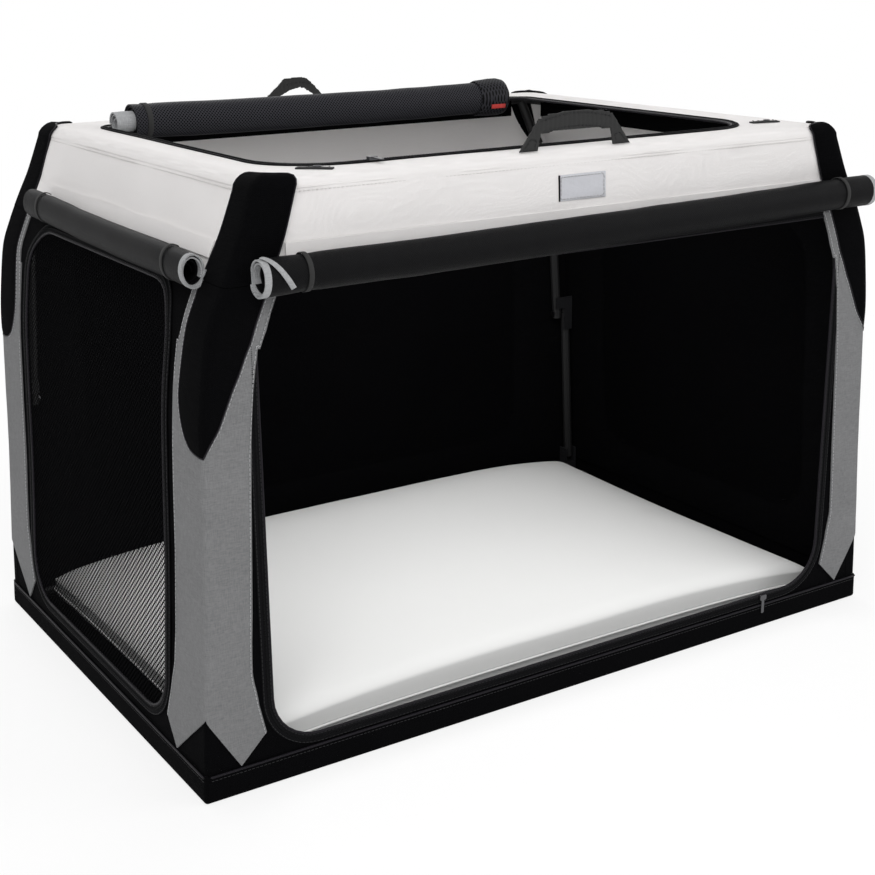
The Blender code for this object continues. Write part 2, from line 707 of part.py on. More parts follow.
def make_corner_trim():
    front = sleeve_outline(
        SLEEVE_FRONT, SLEEVE_FRONT_TOP, SLEEVE_FRONT_FLARE, SLEEVE_ARROW_FRONT, V_FRONT_SHARES, PAD_FRONT
    )
    side = sleeve_outline(
        SLEEVE_SIDE, SLEEVE_SIDE_TOP, SLEEVE_SIDE_FLARE, SLEEVE_ARROW_SIDE, V_SIDE_SHARES, PAD_SIDE
    )
    place_on_corners(corner_shell(front, side), "corner_sleeve", "grey_fabric")

    bottom = SKIRT_HEIGHT + GAP
    top = ROOF_HEIGHT + GAP + TRIM_THICKNESS
    pad_faces = []
    for shares, width, top_width in (
        (V_FRONT_SHARES, PAD_FRONT, PAD_FRONT_TOP), (V_SIDE_SHARES, PAD_SIDE, PAD_SIDE_TOP)
    ):
        foot = width * shares[-1][0] - GAP
        pad_faces.append([(0.0, bottom), (foot, bottom), (top_width, top), (0.0, top)])
    shell = corner_shell(*pad_faces)
    lap = PAD_ROOF_LAP
    less, more = (lap * share for share in LAP_SHARES)
    roof_lap = (
        (0.0, 0.0), (PAD_FRONT_TOP, 0.0), (PAD_FRONT_TOP - less, more), (2 * lap, lap),
        (lap, 2 * lap), (more, PAD_SIDE_TOP - less), (0.0, PAD_SIDE_TOP),
    )
    flap = flat_outline((roof_lap,), TRIM_THICKNESS)
    bmesh.ops.translate(flap, vec=(0.0, 0.0, top - TRIM_THICKNESS / 2), verts=flap.verts)
    boolean(shell, flap, "UNION")
    place_on_corners(shell, "corner_pad", "black_fabric")


# The roof


def opening_outline(grow=0.0):
    front = OPENING_FRONT_CORNER + grow
    back = OPENING_BACK_CORNER + grow
    return rounded_rectangle(
        OPENING_LEFT - grow, OPENING_FRONT - grow, OPENING_RIGHT + grow, OPENING_BACK + grow,
        (front, front, back, back),
    )


def make_roof_cover():
    """The white cover: a roof and four sloping sides in one shell, open below."""
    bottom = SKIRT_HEIGHT + GAP
    spare = bottom - OVERRUN
    bm = box_mesh((-1.0, -1.0, spare), (1.0, 1.0, ROOF_HEIGHT))
    below = [face for face in bm.faces if face.calc_center_median().z < spare + WELD]
    bmesh.ops.delete(bm, geom=below, context="FACES")
    cut_at_stations(bm)
    for vert in bm.verts:
        x, y, z = vert.co
        vert.co.x = math.copysign(half_length(z) - WALL_LAYER, x)
        vert.co.y = math.copysign(half_width(z) - WALL_LAYER, y)
    cover = add_object("roof_cover", mesh_from(bm, "roof_cover"), "white_fabric")
    wall = cover.modifiers.new("wall", "SOLIDIFY")
    wall.thickness = WALL_THICKNESS
    wall.offset = -1.0
    wall.use_even_offset = True
    keep_result(cover)
    cutter = flat_outline((opening_outline(),), 2 * OVERRUN)
    bmesh.ops.translate(cutter, vec=(0.0, 0.0, ROOF_HEIGHT), verts=cutter.verts)
    boolean(cover, cutter, "DIFFERENCE")
    half_x, half_y = FLOOR_LENGTH / 2, FLOOR_WIDTH / 2
    hem = box_mesh((-half_x, -half_y, spare - OVERRUN), (half_x, half_y, bottom))
    boolean(cover, hem, "DIFFERENCE")


def plate_outline(length, width, corner):
    """A small plate centred on the origin, with a few points to each rounded corner."""
    return rounded_rectangle(-length / 2, -width / 2, length / 2, width / 2, [corner] * 4, PLATE_STEPS)


def make_roof_trim():
    bm = flat_outline((opening_outline(RIM_WIDTH), opening_outline(-RIM_OVERHANG)), RIM_THICKNESS)
    level = ROOF_HEIGHT + GAP + RIM_THICKNESS / 2
    bmesh.ops.translate(bm, vec=(0.0, 0.0, level), verts=bm.verts)
    add_object("roof_zip_rim", mesh_from(bm, "roof_zip_rim"), "roll_fabric")

    half = LABEL_LENGTH / 2
    bottom = SKIRT_HEIGHT + LABEL_RISE
    top = bottom + LABEL_HEIGHT
    outline = ((-half, bottom), (half, bottom), (half, top), (-half, top))
    level = WALL_LAYER - GAP - LABEL_THICKNESS / 2
    bm = stand_up(flat_outline((outline,), LABEL_THICKNESS), "x", level)
    lean_on_envelope(bm, side=-1)
    add_object("label_patch", mesh_from(bm, "label_patch"), "label")

    left = (OPENING_LEFT + LEFT_TAB_INSET, OPENING_FRONT - LEFT_TAB_STAND_OFF)
    right = (OPENING_RIGHT + RIGHT_TAB_STAND_OFF, OPENING_FRONT + RIGHT_TAB_INSET)
    for name, angle, (x, y) in (
        ("left_zip_tab", LEFT_TAB_ANGLE, left), ("right_zip_tab", RIGHT_TAB_ANGLE, right)
    ):
        tab = flat_outline((plate_outline(TAB_LENGTH, TAB_WIDTH, TAB_CORNER),), TAB_THICKNESS)
        level = ROOF_HEIGHT + GAP + TAB_THICKNESS / 2
        place = Matrix.Translation((x, y, level)) @ Matrix.Rotation(angle, 4, "Z")
        bmesh.ops.transform(tab, matrix=place, verts=tab.verts)
        add_object(name, mesh_from(tab, name), "webbing")


def slider_mesh():
    """A zip slider lying flat, its length along X, its underside at zero, its pull towards -Y."""
    outline = plate_outline(SLIDER_LENGTH, SLIDER_WIDTH, SLIDER_CORNER)
    body = flat_outline((outline,), SLIDER_THICKNESS)
    bmesh.ops.translate(body, vec=(0.0, 0.0, SLIDER_THICKNESS / 2), verts=body.verts)
    slider = add_object("slider", mesh_from(body, "slider"))
    pull = flat_outline((plate_outline(PULL_WIDTH, PULL_LENGTH, PULL_CORNER),), PULL_THICKNESS)
    place = (0.0, -(SLIDER_WIDTH / 4 + PULL_LENGTH / 2), SLIDER_THICKNESS - PULL_THICKNESS)
    bmesh.ops.translate(pull, vec=place, verts=pull.verts)
    boolean(slider, pull, "UNION")
    bm = bmesh.new()
    bm.from_mesh(slider.data)
    bpy.data.objects.remove(slider, do_unlink=True)
    return bm


def roof_slider_place():
    return Vector((OPENING_LEFT + ROOF_SLIDER_INSET, OPENING_FRONT - RIM_WIDTH / 2, RIM_TOP + GAP))


def front_slider_place():
    x = FLOOR_LENGTH / 2 - FRONT_DOOR_MARGIN - FRONT_SLIDER_INSET
    return Vector((x, WALL_LAYER - GAP - half_width(0.0), FRONT_DOOR_SILL - SLIDER_WIDTH / 2))


def make_zip_sliders():
    bm = slider_mesh()
    bmesh.ops.translate(bm, vec=roof_slider_place(), verts=bm.verts)
    add_object("roof_zip_slider", mesh_from(bm, "roof_zip_slider"), "zinc")

    bm = slider_mesh()
    place = Matrix.Translation(front_slider_place()) @ Matrix.Rotation(math.pi / 2, 4, "X")
    bmesh.ops.transform(bm, matrix=place, verts=bm.verts)
    add_object("front_zip_slider", mesh_from(bm, "front_zip_slider"), "zinc")


# The tube frame


def base_pivot_x():
    return half_length(BASE_PIVOT_HEIGHT) - BASE_POST_INSET


def lower_knee_x():
    return half_length(KNEE_HEIGHT) - KNEE_POST_INSET


def top_pivot_x():
    return half_length(TOP_PIVOT_HEIGHT) - TOP_POST_INSET


def post_tube(bottom, top):
    """A half post bored through near both ends, its pivots at the two points given."""
    low, high = Vector(bottom), Vector(top)
    way = (high - low).normalized()
    bm = tube([low - way * POST_END, high + way * POST_END], TUBE_RADIUS)
    post = add_object("post", mesh_from(bm, "post"))
    for pivot in (low, high):
        hole = cylinder_x(pivot, PIN_RADIUS + PIN_CLEARANCE, 2 * TUBE_RADIUS + 2 * OVERRUN, PIN_SIDES)
        boolean(post, hole, "DIFFERENCE")
    return post


def pin_mesh(x0, x1, y, z):
    """A headed pin along X whose heads lie outside x0 and x1: a profile turned about its axis."""
    low, high = min(x0, x1) - GAP, max(x0, x1) + GAP
    profile = (
        (low - PIN_HEAD, 0.0), (low - PIN_HEAD, PIN_HEAD_RADIUS),
        (low, PIN_HEAD_RADIUS), (low, PIN_RADIUS),
        (high, PIN_RADIUS), (high, PIN_HEAD_RADIUS),
        (high + PIN_HEAD, PIN_HEAD_RADIUS), (high + PIN_HEAD, 0.0),
    )
    bm = bmesh.new()
    knots = [bm.verts.new((x, y, z + r)) for x, r in profile]
    edges = [bm.edges.new(pair) for pair in zip(knots, knots[1:])]
    bmesh.ops.spin(
        bm, geom=knots + edges, cent=(0.0, y, z), axis=(1.0, 0.0, 0.0), angle=2 * math.pi, steps=PIN_SIDES
    )
    bmesh.ops.remove_doubles(bm, verts=bm.verts, dist=WELD)
    return bm


def rename_part(obj, name, slot):
    obj.name = name
    obj.data.name = name
    cutters.objects.unlink(obj)
    parts.objects.link(obj)
    obj.hide_render = False
    obj.display_type = "TEXTURED"
    obj.data.materials.clear()
    obj.data.materials.append(material(slot))


def make_posts():
    for face, side in LONG_SIDES:
        y = side * FRAME_HALF_WIDTH
        for label, end in CORNERS:
            low = (end * base_pivot_x(), y, BASE_PIVOT_HEIGHT)
            lower = post_tube(low, (end * lower_knee_x(), y, KNEE_HEIGHT))
            rename_part(lower, f"{face}_{label}_lower_post", "steel_tube")
            high = (end * top_pivot_x(), y, TOP_PIVOT_HEIGHT)
            upper = post_tube((end * (lower_knee_x() - KNEE_SPACING), y, KNEE_HEIGHT), high)
            rename_part(upper, f"{face}_{label}_upper_post", "steel_tube")


def make_knees():
    """Each knee has a pin and a stop plate on its inner side, so it can only fold inwards."""
    outer = lower_knee_x() + TUBE_RADIUS
    inner = outer - KNEE_SPACING - 2 * TUBE_RADIUS
    split = (outer + inner) / 2
    low, relief, high = (KNEE_HEIGHT + rise for rise in (-STOP_REACH, STOP_RELIEF, STOP_REACH))
    plate = ((outer, low), (outer, high), (inner, high), (inner, relief), (split, relief), (split, low))
    for face, side in LONG_SIDES:
        y = side * FRAME_HALF_WIDTH
        for label, end in CORNERS:
            name = f"{face}_{label}_knee_pin"
            pin = pin_mesh(end * outer, end * inner, y, KNEE_HEIGHT)
            add_object(name, mesh_from(pin, name), "zinc")
            outline = [(end * x, z) for x, z in plate]
            level = y - side * (TUBE_RADIUS + GAP + STOP_THICKNESS / 2)
            name = f"{face}_{label}_knee_stop"
            stop = stand_up(flat_outline((outline,), STOP_THICKNESS), "x", level)
            add_object(name, mesh_from(stop, name), "moulding")


def make_base_brackets():
    """A U bracket on each corner of the base frame, its pin riveted through both ears and the post."""
    inner = TUBE_RADIUS + EAR_CLEARANCE
    outer = inner + EAR_THICKNESS
    foot = BRACKET_FOOT
    floor = foot + BRACKET_FLOOR
    top = BASE_PIVOT_HEIGHT + EAR_RISE
    profile = (
        (-outer, foot), (outer, foot), (outer, top), (inner, top), (inner, floor),
        (-inner, floor), (-inner, top), (-outer, top),
    )
    for face, side in LONG_SIDES:
        y = side * FRAME_HALF_WIDTH
        for label, end in CORNERS:
            x = end * base_pivot_x()
            name = f"{face}_{label}_base_bracket"
            bm = stand_up(flat_outline((profile,), EAR_WIDTH), "x", y)
            bmesh.ops.translate(bm, vec=(x, 0.0, 0.0), verts=bm.verts)
            bracket = add_object(name, mesh_from(bm, name), "moulding")
            seat = outer - GAP
            boolean(bracket, pin_mesh(x - seat, x + seat, y, BASE_PIVOT_HEIGHT), "UNION")


def make_top_frame():
    """The roof's ring with four bent legs, each with the riveted pin that its upper post turns on."""
    level = ROOF_HEIGHT - WALL_THICKNESS - GAP - TUBE_RADIUS
    outline = rounded_rectangle(
        -TOP_FRAME_HALF_LENGTH, -FRAME_HALF_WIDTH, TOP_FRAME_HALF_LENGTH, FRAME_HALF_WIDTH,
        [TOP_FRAME_CORNER] * 4, TUBE_TURN_STEPS,
    )
    bm = tube([(x, y, level) for x, y in outline], TUBE_RADIUS, closed=True)
    frame = add_object("top_frame", mesh_from(bm, "top_frame"), "steel_tube")
    leg_x = top_pivot_x() - KNEE_SPACING
    head_x = TOP_FRAME_HALF_LENGTH - TOP_FRAME_CORNER
    for _, side in LONG_SIDES:
        y = side * FRAME_HALF_WIDTH
        for _, end in CORNERS:
            foot = (end * leg_x, y, TOP_PIVOT_HEIGHT - POST_END)
            bend = (end * leg_x, y, SKIRT_HEIGHT + LEG_BEND_RISE)
            leg = tube([foot, bend, (end * head_x, y, level)], TUBE_RADIUS)
            boolean(frame, leg, "UNION")
            outer = end * (top_pivot_x() + TUBE_RADIUS)
            inner = end * (leg_x - TUBE_RADIUS + GAP)
            boolean(frame, pin_mesh(outer, inner, y, TOP_PIVOT_HEIGHT), "UNION")


# The rolled covers


def spiral_section(radius, turns, start_angle, direction, tail, half_width=None):
    """The closed outline of a rolled sheet: in from the outer turn, then the tail to its seam.

    start_angle is where the outer turn ends, direction is +1 for an anticlockwise outer turn,
    and tail holds pairs of (outer face point, inner face point) from the roll out to the seam.
    half_width makes the roll an upright oval.
    """
    squeeze = half_width / radius if half_width else 1.0
    pitch = (radius - SHEET_THICKNESS - ROLL_EYE_RADIUS) / turns
    steps = turns * ROLL_STEPS_PER_TURN
    outer, inner = [], []
    for step in range(steps + 1):
        turn = step / ROLL_STEPS_PER_TURN
        angle = start_angle + direction * 2 * math.pi * turn
        reach = radius - pitch * turn
        way = (math.cos(angle) * squeeze, math.sin(angle))
        outer.append((way[0] * reach, way[1] * reach))
        inner.append((way[0] * (reach - SHEET_THICKNESS), way[1] * (reach - SHEET_THICKNESS)))
    tail_outer = [pair[0] for pair in tail][::-1]
    tail_inner = [pair[1] for pair in tail]
    return tail_outer + outer + inner[::-1] + tail_inner


def band_section(half_width, half_height, thickness, reach):
    """A curved band round a roll, from one angle to another."""
    start, end = (math.radians(angle) for angle in reach)
    angles = [start + (end - start) * step / BAND_STEPS for step in range(BAND_STEPS + 1)]
    faces = [
        [((half_width + out) * math.cos(a), (half_height + out) * math.sin(a)) for a in angles]
        for out in (GAP, GAP + thickness)
    ]
    return faces[0] + faces[1][::-1]


def extrude_section(points, along, low, high, centre, slope=0.0):
    """A section drawn as (horizontal, up) about its centre, run from low to high along an axis.

    A slope lifts it towards its high end, all but what lies at the seam's height.
    """
    length = high - low
    bm = flat_outline((points,), length)
    middle = (low + high) / 2
    if along == "x":
        stand_up(bm, "y", 0.0)
        move = (middle, centre[0], centre[1])
    else:
        stand_up(bm, "x", 0.0)
        move = (centre[0], middle, centre[1])
    bmesh.ops.translate(bm, vec=move, verts=bm.verts)
    for vert in bm.verts:
        if vert.co.z < SEAM_HEIGHT - WELD:
            vert.co.z += slope * vert.co.x
    return bm


def front_roll_centre():
    return (-(FLOOR_WIDTH / 2 + GAP + FRONT_ROLL_RADIUS), FRONT_ROLL_HEIGHT)


def left_roll_centre():
    """The oval roll hangs clear of the sloping skirt by a gap measured square to its slope."""
    step = LEFT_ROLL_RADIUS
    slope = (half_length(LEFT_ROLL_HEIGHT - step) - half_length(LEFT_ROLL_HEIGHT + step)) / (2 * step)
    reach = math.hypot(LEFT_ROLL_HALF_WIDTH, LEFT_ROLL_RADIUS * slope)
    reach += LEFT_ROLL_CLEARANCE * math.sqrt(1 + slope * slope)
    return (-(half_length(LEFT_ROLL_HEIGHT) + reach), LEFT_ROLL_HEIGHT)


def roof_roll_centre():
    return (OPENING_BACK - RIM_OVERHANG - GAP - ROOF_ROLL_RADIUS, ROOF_HEIGHT + ROOF_ROLL_RISE)


def make_front_roll():
    centre = front_roll_centre()
    tail = [
        ((FRONT_ROLL_RADIUS, FRONT_ROLL_DROP), (FRONT_ROLL_RADIUS - SHEET_THICKNESS, FRONT_ROLL_DROP))
    ]
    section = spiral_section(FRONT_ROLL_RADIUS, ROLL_TURNS, 0.0, -1, tail)
    bm = extrude_section(section, "x", FRONT_ROLL_LEFT, FRONT_ROLL_RIGHT, centre, FRONT_ROLL_SLOPE)
    add_object("front_door_roll", mesh_from(bm, "front_door_roll"), "roll_fabric")
    band = band_section(FRONT_ROLL_RADIUS, FRONT_ROLL_RADIUS, LOOP_THICKNESS, FRONT_LOOP_ANGLES)
    for label, x in (("left", FRONT_ROLL_LEFT + LOOP_INSET), ("right", FRONT_ROLL_RIGHT - LOOP_INSET)):
        loop = extrude_section(
            band, "x", x - LOOP_WIDTH / 2, x + LOOP_WIDTH / 2, centre, FRONT_ROLL_SLOPE
        )
        name = f"front_roll_{label}_loop"
        add_object(name, mesh_from(loop, name), "webbing")


def left_seam_x():
    return -(half_length(SEAM_HEIGHT) + GAP)


def make_left_roll():
    """The left cover's tail leans with the skirt up to its seam."""
    centre = left_roll_centre()
    radius, half_width = LEFT_ROLL_RADIUS, LEFT_ROLL_HALF_WIDTH
    seam = left_seam_x() - centre[0]
    slope = math.atan2(seam - half_width, LEFT_ROLL_DROP)
    across = SHEET_THICKNESS / math.cos(slope)
    tail = [((seam, LEFT_ROLL_DROP), (seam - across, LEFT_ROLL_DROP))]
    section = spiral_section(radius, ROLL_TURNS, 0.0, -1, tail, half_width)
    bm = extrude_section(section, "y", LEFT_ROLL_FRONT, LEFT_ROLL_BACK, centre)
    add_object("left_cover_roll", mesh_from(bm, "left_cover_roll"), "roll_fabric")
    band = band_section(half_width, radius, LOOP_THICKNESS, LEFT_LOOP_ANGLES)
    for label, y in (("front", LEFT_ROLL_FRONT + LOOP_INSET), ("back", LEFT_ROLL_BACK - LOOP_INSET)):
        loop = extrude_section(band, "y", y - LOOP_WIDTH / 2, y + LOOP_WIDTH / 2, centre)
        name = f"left_roll_{label}_loop"
        add_object(name, mesh_from(loop, name), "webbing")


def make_roof_roll():
    """The roof door lies rolled along the back of its opening, its tail on the zip binding."""
    centre = roof_roll_centre()
    radius = ROOF_ROLL_RADIUS
    sheet = SHEET_THICKNESS
    level = RIM_TOP + GAP - centre[1]
    reach = math.sqrt(radius * radius - level * level)
    start = math.atan2(level + sheet, reach)
    lap = OPENING_BACK + ROOF_ROLL_SEAM_LAP - centre[0]
    tail = [((lap, level + sheet), (lap, level))]
    section = spiral_section(radius, ROOF_ROLL_TURNS, start, 1, tail)
    bm = extrude_section(section, "x", ROOF_ROLL_LEFT, ROOF_ROLL_RIGHT, centre)
    add_object("roof_door_roll", mesh_from(bm, "roof_door_roll"), "black_mesh")

    band = band_section(radius, radius, STRAP_THICKNESS, STRAP_ANGLES)
    for label, low, width in (
        ("left", ROOF_ROLL_LEFT + STRAP_INSET, STRAP_WIDTH_LEFT),
        ("right", ROOF_ROLL_RIGHT - STRAP_INSET - STRAP_WIDTH_RIGHT, STRAP_WIDTH_RIGHT),
    ):
        name = f"roof_roll_{label}_strap"
        add_object(name, mesh_from(extrude_section(band, "x", low, low + width, centre), name), "webbing")


# The carry handles


def handle_outline(arch):
    """A flat arch of webbing in one plane: two feet, two leaning legs and a band between them."""
    foot_out, foot_width, top_out, top_in, rise, bow, band, band_bow = arch
    foot_in = foot_out - foot_width
    points = [(-foot_out, 0.0), (-foot_in, 0.0)]
    for step in range(ARCH_STEPS + 1):
        angle = math.pi - math.pi * step / ARCH_STEPS
        points.append((top_in * math.cos(angle), rise - band + band_bow * math.sin(angle)))
    points += [(foot_in, 0.0), (foot_out, 0.0)]
    for step in range(ARCH_STEPS + 1):
        angle = math.pi * step / ARCH_STEPS
        points.append((top_out * math.cos(angle), rise + bow * math.sin(angle)))
    return points


def make_handles():
    bottom = ROOF_HEIGHT + HANDLE_LIFT
    level = half_width(ROOF_HEIGHT) - HANDLE_INSET
    for name, side, x, arch in (
        ("front_handle", -1, FRONT_HANDLE_X, FRONT_ARCH), ("rear_handle", 1, REAR_HANDLE_X, REAR_ARCH)
    ):
        outline = [(u, bottom + v) for u, v in handle_outline(arch)]
        bm = stand_up(flat_outline((outline,), HANDLE_THICKNESS), "x", side * level)
        bmesh.ops.translate(bm, vec=(x, 0.0, 0.0), verts=bm.verts)
        add_object(name, mesh_from(bm, name), "webbing")


# What carries the moving pieces


def axis_empty(name, point, carrier=None):
    """An empty on the axis that a piece turns about or slides along, held by its carrier's empty."""
    empty = bpy.data.objects.new(name, None)
    parts.objects.link(empty)
    empty.location = point
    empty.empty_display_size = PIN_HEAD_RADIUS
    hang_from(carrier, [empty])
    return empty


def hang_from(carrier, pieces):
    """Parents pieces to an empty and leaves them where they are."""
    if carrier:
        bpy.context.view_layer.update()
        for piece in pieces:
            piece.parent = carrier
            piece.matrix_parent_inverse = carrier.matrix_world.inverted()


def nodes(*names):
    return [bpy.data.objects[name] for name in names]


def of_both_ends(face, *pieces):
    return nodes(*[f"{face}_{label}_{piece}" for piece in pieces for label, _ in CORNERS])


def hang_frame():
    """The front posts carry the top frame, the back posts follow. Returns the top frame's empty."""
    heads = {}
    for face, side in LONG_SIDES:
        y = side * FRAME_HALF_WIDTH
        base = axis_empty(f"{face}_base_hinge", (0.0, y, BASE_PIVOT_HEIGHT))
        hang_from(base, of_both_ends(face, "lower_post", "knee_pin", "knee_stop"))
        knee = axis_empty(f"{face}_knee", (0.0, y, KNEE_HEIGHT), base)
        hang_from(knee, of_both_ends(face, "upper_post"))
        heads[face] = axis_empty(f"{face}_top_hinge", (0.0, y, TOP_PIVOT_HEIGHT), knee)
    top = heads["front"]
    hang_from(top, nodes("top_frame", "roof_cover", "roof_zip_rim", "label_patch"))
    hang_from(top, nodes("left_zip_tab", "right_zip_tab"))
    for face, _ in LONG_SIDES:
        hang_from(top, of_both_ends(face, "corner_pad"))
    return top


def hang_covers(top):
    seam = axis_empty("front_roll_seam", (0.0, -(FLOOR_WIDTH / 2 + GAP), SEAM_HEIGHT), top)
    hang_from(seam, nodes("front_door_roll", "front_roll_left_loop", "front_roll_right_loop"))
    seam = axis_empty("left_roll_seam", (left_seam_x(), 0.0, SEAM_HEIGHT), top)
    hang_from(seam, nodes("left_cover_roll", "left_roll_front_loop", "left_roll_back_loop"))
    seam = axis_empty("roof_roll_seam", (0.0, OPENING_BACK + ROOF_ROLL_SEAM_LAP, RIM_TOP + GAP), top)
    hang_from(seam, nodes("roof_door_roll", "roof_roll_left_strap", "roof_roll_right_strap"))
    head = SKIRT_HEIGHT - LEFT_DOOR_HEAD_DROP + MESH_LAP
    seam = axis_empty("left_door_seam", (left_net_depth() - half_length(head), 0.0, head))
    hang_from(seam, nodes("left_mesh_door"))


def hang_handles_and_sliders(top):
    rise = ROOF_HEIGHT + HANDLE_PIVOT_RISE
    for face, side, x in (("front", -1, FRONT_HANDLE_X), ("rear", 1, REAR_HANDLE_X)):
        y = side * (half_width(ROOF_HEIGHT) - HANDLE_INSET)
        hang_from(axis_empty(f"{face}_handle_feet", (x, y, rise), top), nodes(f"{face}_handle"))
    hang_from(axis_empty("roof_zip_line", roof_slider_place(), top), nodes("roof_zip_slider"))
    hang_from(axis_empty("front_zip_line", front_slider_place()), nodes("front_zip_slider"))


clear_scene()
make_base_tray()
make_base_frame()
make_mat()
make_walls()
make_mesh_panels()
make_window_covers()
make_corner_trim()
make_roof_cover()
make_roof_trim()
make_zip_sliders()
make_posts()
make_knees()
make_base_brackets()
make_top_frame()
make_front_roll()
make_left_roll()
make_roof_roll()
make_handles()
top_empty = hang_frame()
hang_covers(top_empty)
hang_handles_and_sliders(top_empty)
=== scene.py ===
"""Soft folding crate: the cloth, nets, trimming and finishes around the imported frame.

Metres, +Z up, the floor at zero. X runs along the crate and the front door is at -Y. The walls
lean in towards the roof, so cloth is cut as flat lattices and then carried onto the leaning
envelope: along is the place along a wall, up the height, depth how far in from the envelope.
"""

import math

import bmesh
import bpy
from bpy.props import FloatProperty, FloatVectorProperty
from mathutils import Matrix, Vector, noise


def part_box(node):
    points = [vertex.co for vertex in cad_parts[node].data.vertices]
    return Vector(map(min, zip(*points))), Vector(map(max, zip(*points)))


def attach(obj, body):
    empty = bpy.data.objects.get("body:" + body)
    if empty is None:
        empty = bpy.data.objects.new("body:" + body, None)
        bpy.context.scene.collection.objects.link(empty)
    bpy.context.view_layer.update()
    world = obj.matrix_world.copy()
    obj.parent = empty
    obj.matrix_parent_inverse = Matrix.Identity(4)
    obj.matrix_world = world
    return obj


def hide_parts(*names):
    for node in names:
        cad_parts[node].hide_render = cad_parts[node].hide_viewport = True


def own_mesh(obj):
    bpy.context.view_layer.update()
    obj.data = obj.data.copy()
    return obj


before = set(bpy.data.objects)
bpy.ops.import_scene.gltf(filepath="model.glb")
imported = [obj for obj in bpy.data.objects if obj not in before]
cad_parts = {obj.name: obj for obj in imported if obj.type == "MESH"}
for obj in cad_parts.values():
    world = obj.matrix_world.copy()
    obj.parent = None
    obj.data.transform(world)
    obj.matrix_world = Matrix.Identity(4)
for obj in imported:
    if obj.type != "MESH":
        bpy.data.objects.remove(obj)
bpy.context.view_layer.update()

bl_info = {
    "name": "Soft folding crate",
    "version": (1, 0, 0),
    "blender": (4, 5, 0),
    "location": "3D View > Sidebar > Crate",
    "description": "Makes the cloth, nets, trimming and finishes of a soft folding crate",
    "category": "Object",
}

# The envelope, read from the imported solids
TRAY_LOW, TRAY_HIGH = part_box("base_tray")
COVER_LOW, COVER_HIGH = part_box("roof_cover")
PAD_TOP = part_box("front_left_corner_pad")[1].z
WALL_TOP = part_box("front_wall")[1].z
GAP = 0.0003
FLOOR_HALF_LENGTH = TRAY_HIGH.x
FLOOR_HALF_WIDTH = TRAY_HIGH.y
BAND_TOP = TRAY_HIGH.z
SKIRT = (WALL_TOP + COVER_LOW.z) / 2
ROOF = COVER_HIGH.z
ROOF_END_INSET = 0.106
ROOF_SIDE_INSET = 0.004
LEAN_SHARES = (
    (0.0, 0.0), (0.141, 0.047), (0.352, 0.142), (0.535, 0.198), (0.634, 0.236), (0.704, 0.290),
    (0.775, 0.370), (0.817, 0.480), (0.845, 0.565), (0.873, 0.655), (0.915, 0.790), (1.0, 1.0),
)
ROOF_HALF_LENGTH = FLOOR_HALF_LENGTH - ROOF_END_INSET
ROOF_HALF_WIDTH = FLOOR_HALF_WIDTH - ROOF_SIDE_INSET
TRIM_DEPTH = 0.0018
WALL_DEPTH = TRIM_DEPTH + GAP
CLOTH = 0.0022
SNAP = 0.00001

# Each wall's hole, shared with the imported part: half its width, sill, head and corner radii
WALL_SPECS = {
    "front": (0.4425, 0.050, 0.588, (0.060, 0.060, 0.015, 0.015)),
    "left": (0.238, 0.060, 0.584, (0.060,) * 4),
    "back": (0.390, 0.110, 0.550, (0.050,) * 4),
    "right": (0.235, 0.110, 0.550, (0.050,) * 4),
}
NET_LAP = 0.006
ROOF_OPENING = (-0.374, -0.292, 0.338, 0.248)
ROOF_OPENING_CORNERS = (0.080, 0.080, 0.020, 0.020)

UP = Vector((0, 0, 1))
BLACK = "black_fabric"
CORNERS = (("front_left", -1, -1), ("front_right", 1, -1), ("back_left", -1, 1), ("back_right", 1, 1))


# Settings that a user may change


def length_property(name, description, default, low, high):
    return FloatProperty(
        name=name, description=description, default=default, min=low, max=high, unit="LENGTH"
    )


class CrateSizes(bpy.types.PropertyGroup):
    """Small sizes of the cloth and its trimming."""

    cell: length_property(
        "Cloth cell", "Spacing of the lattice that each cloth is cut from", 0.014, 0.006, 0.040
    )
    net_pitch: length_property("Net pitch", "Distance between two holes of the nets", 0.0055, 0.004, 0.020)
    net_hole_share: FloatProperty(
        name="Net hole", description="Share of the net's pitch that is open",
        default=0.64, min=0.2, max=0.9, subtype="FACTOR",
    )
    stitch_pitch: length_property("Stitch pitch", "Distance between two stitches", 0.0052, 0.002, 0.020)
    stitch_length: length_property("Stitch length", "Length of one stitch", 0.0036, 0.001, 0.015)
    tooth_pitch: length_property(
        "Zip coil pitch", "Distance between two turns of a zip's coil", 0.0021, 0.001, 0.006
    )
    roof_round: length_property(
        "Roof edge", "Radius of the white cover's edges over the frame", 0.0115, 0.004, 0.012
    )
    corner_round: length_property(
        "Corner edge", "Radius of the upright corners of the grey sleeves", 0.006, 0.002, 0.010
    )
    crease: length_property("Crease", "Height of the soft creases in the cloth", 0.0012, 0.0, 0.004)
    pad_puff: length_property(
        "Pad puff", "How far the corner pads stand proud in their middle", 0.0030, 0.0, 0.006
    )
    roll_sag: length_property(
        "Roll sag", "How far a rolled cover hangs down between its loops", 0.0022, 0.0, 0.006
    )
    mat_swell: length_property(
        "Mat swell", "The furthest that the mat's filling may swell its cloth", 0.0045, 0.0, 0.010
    )


def colour_property(name, description, default):
    return FloatVectorProperty(
        name=name, description=description, default=default, min=0.0, max=1.0, size=3, subtype="COLOR"
    )


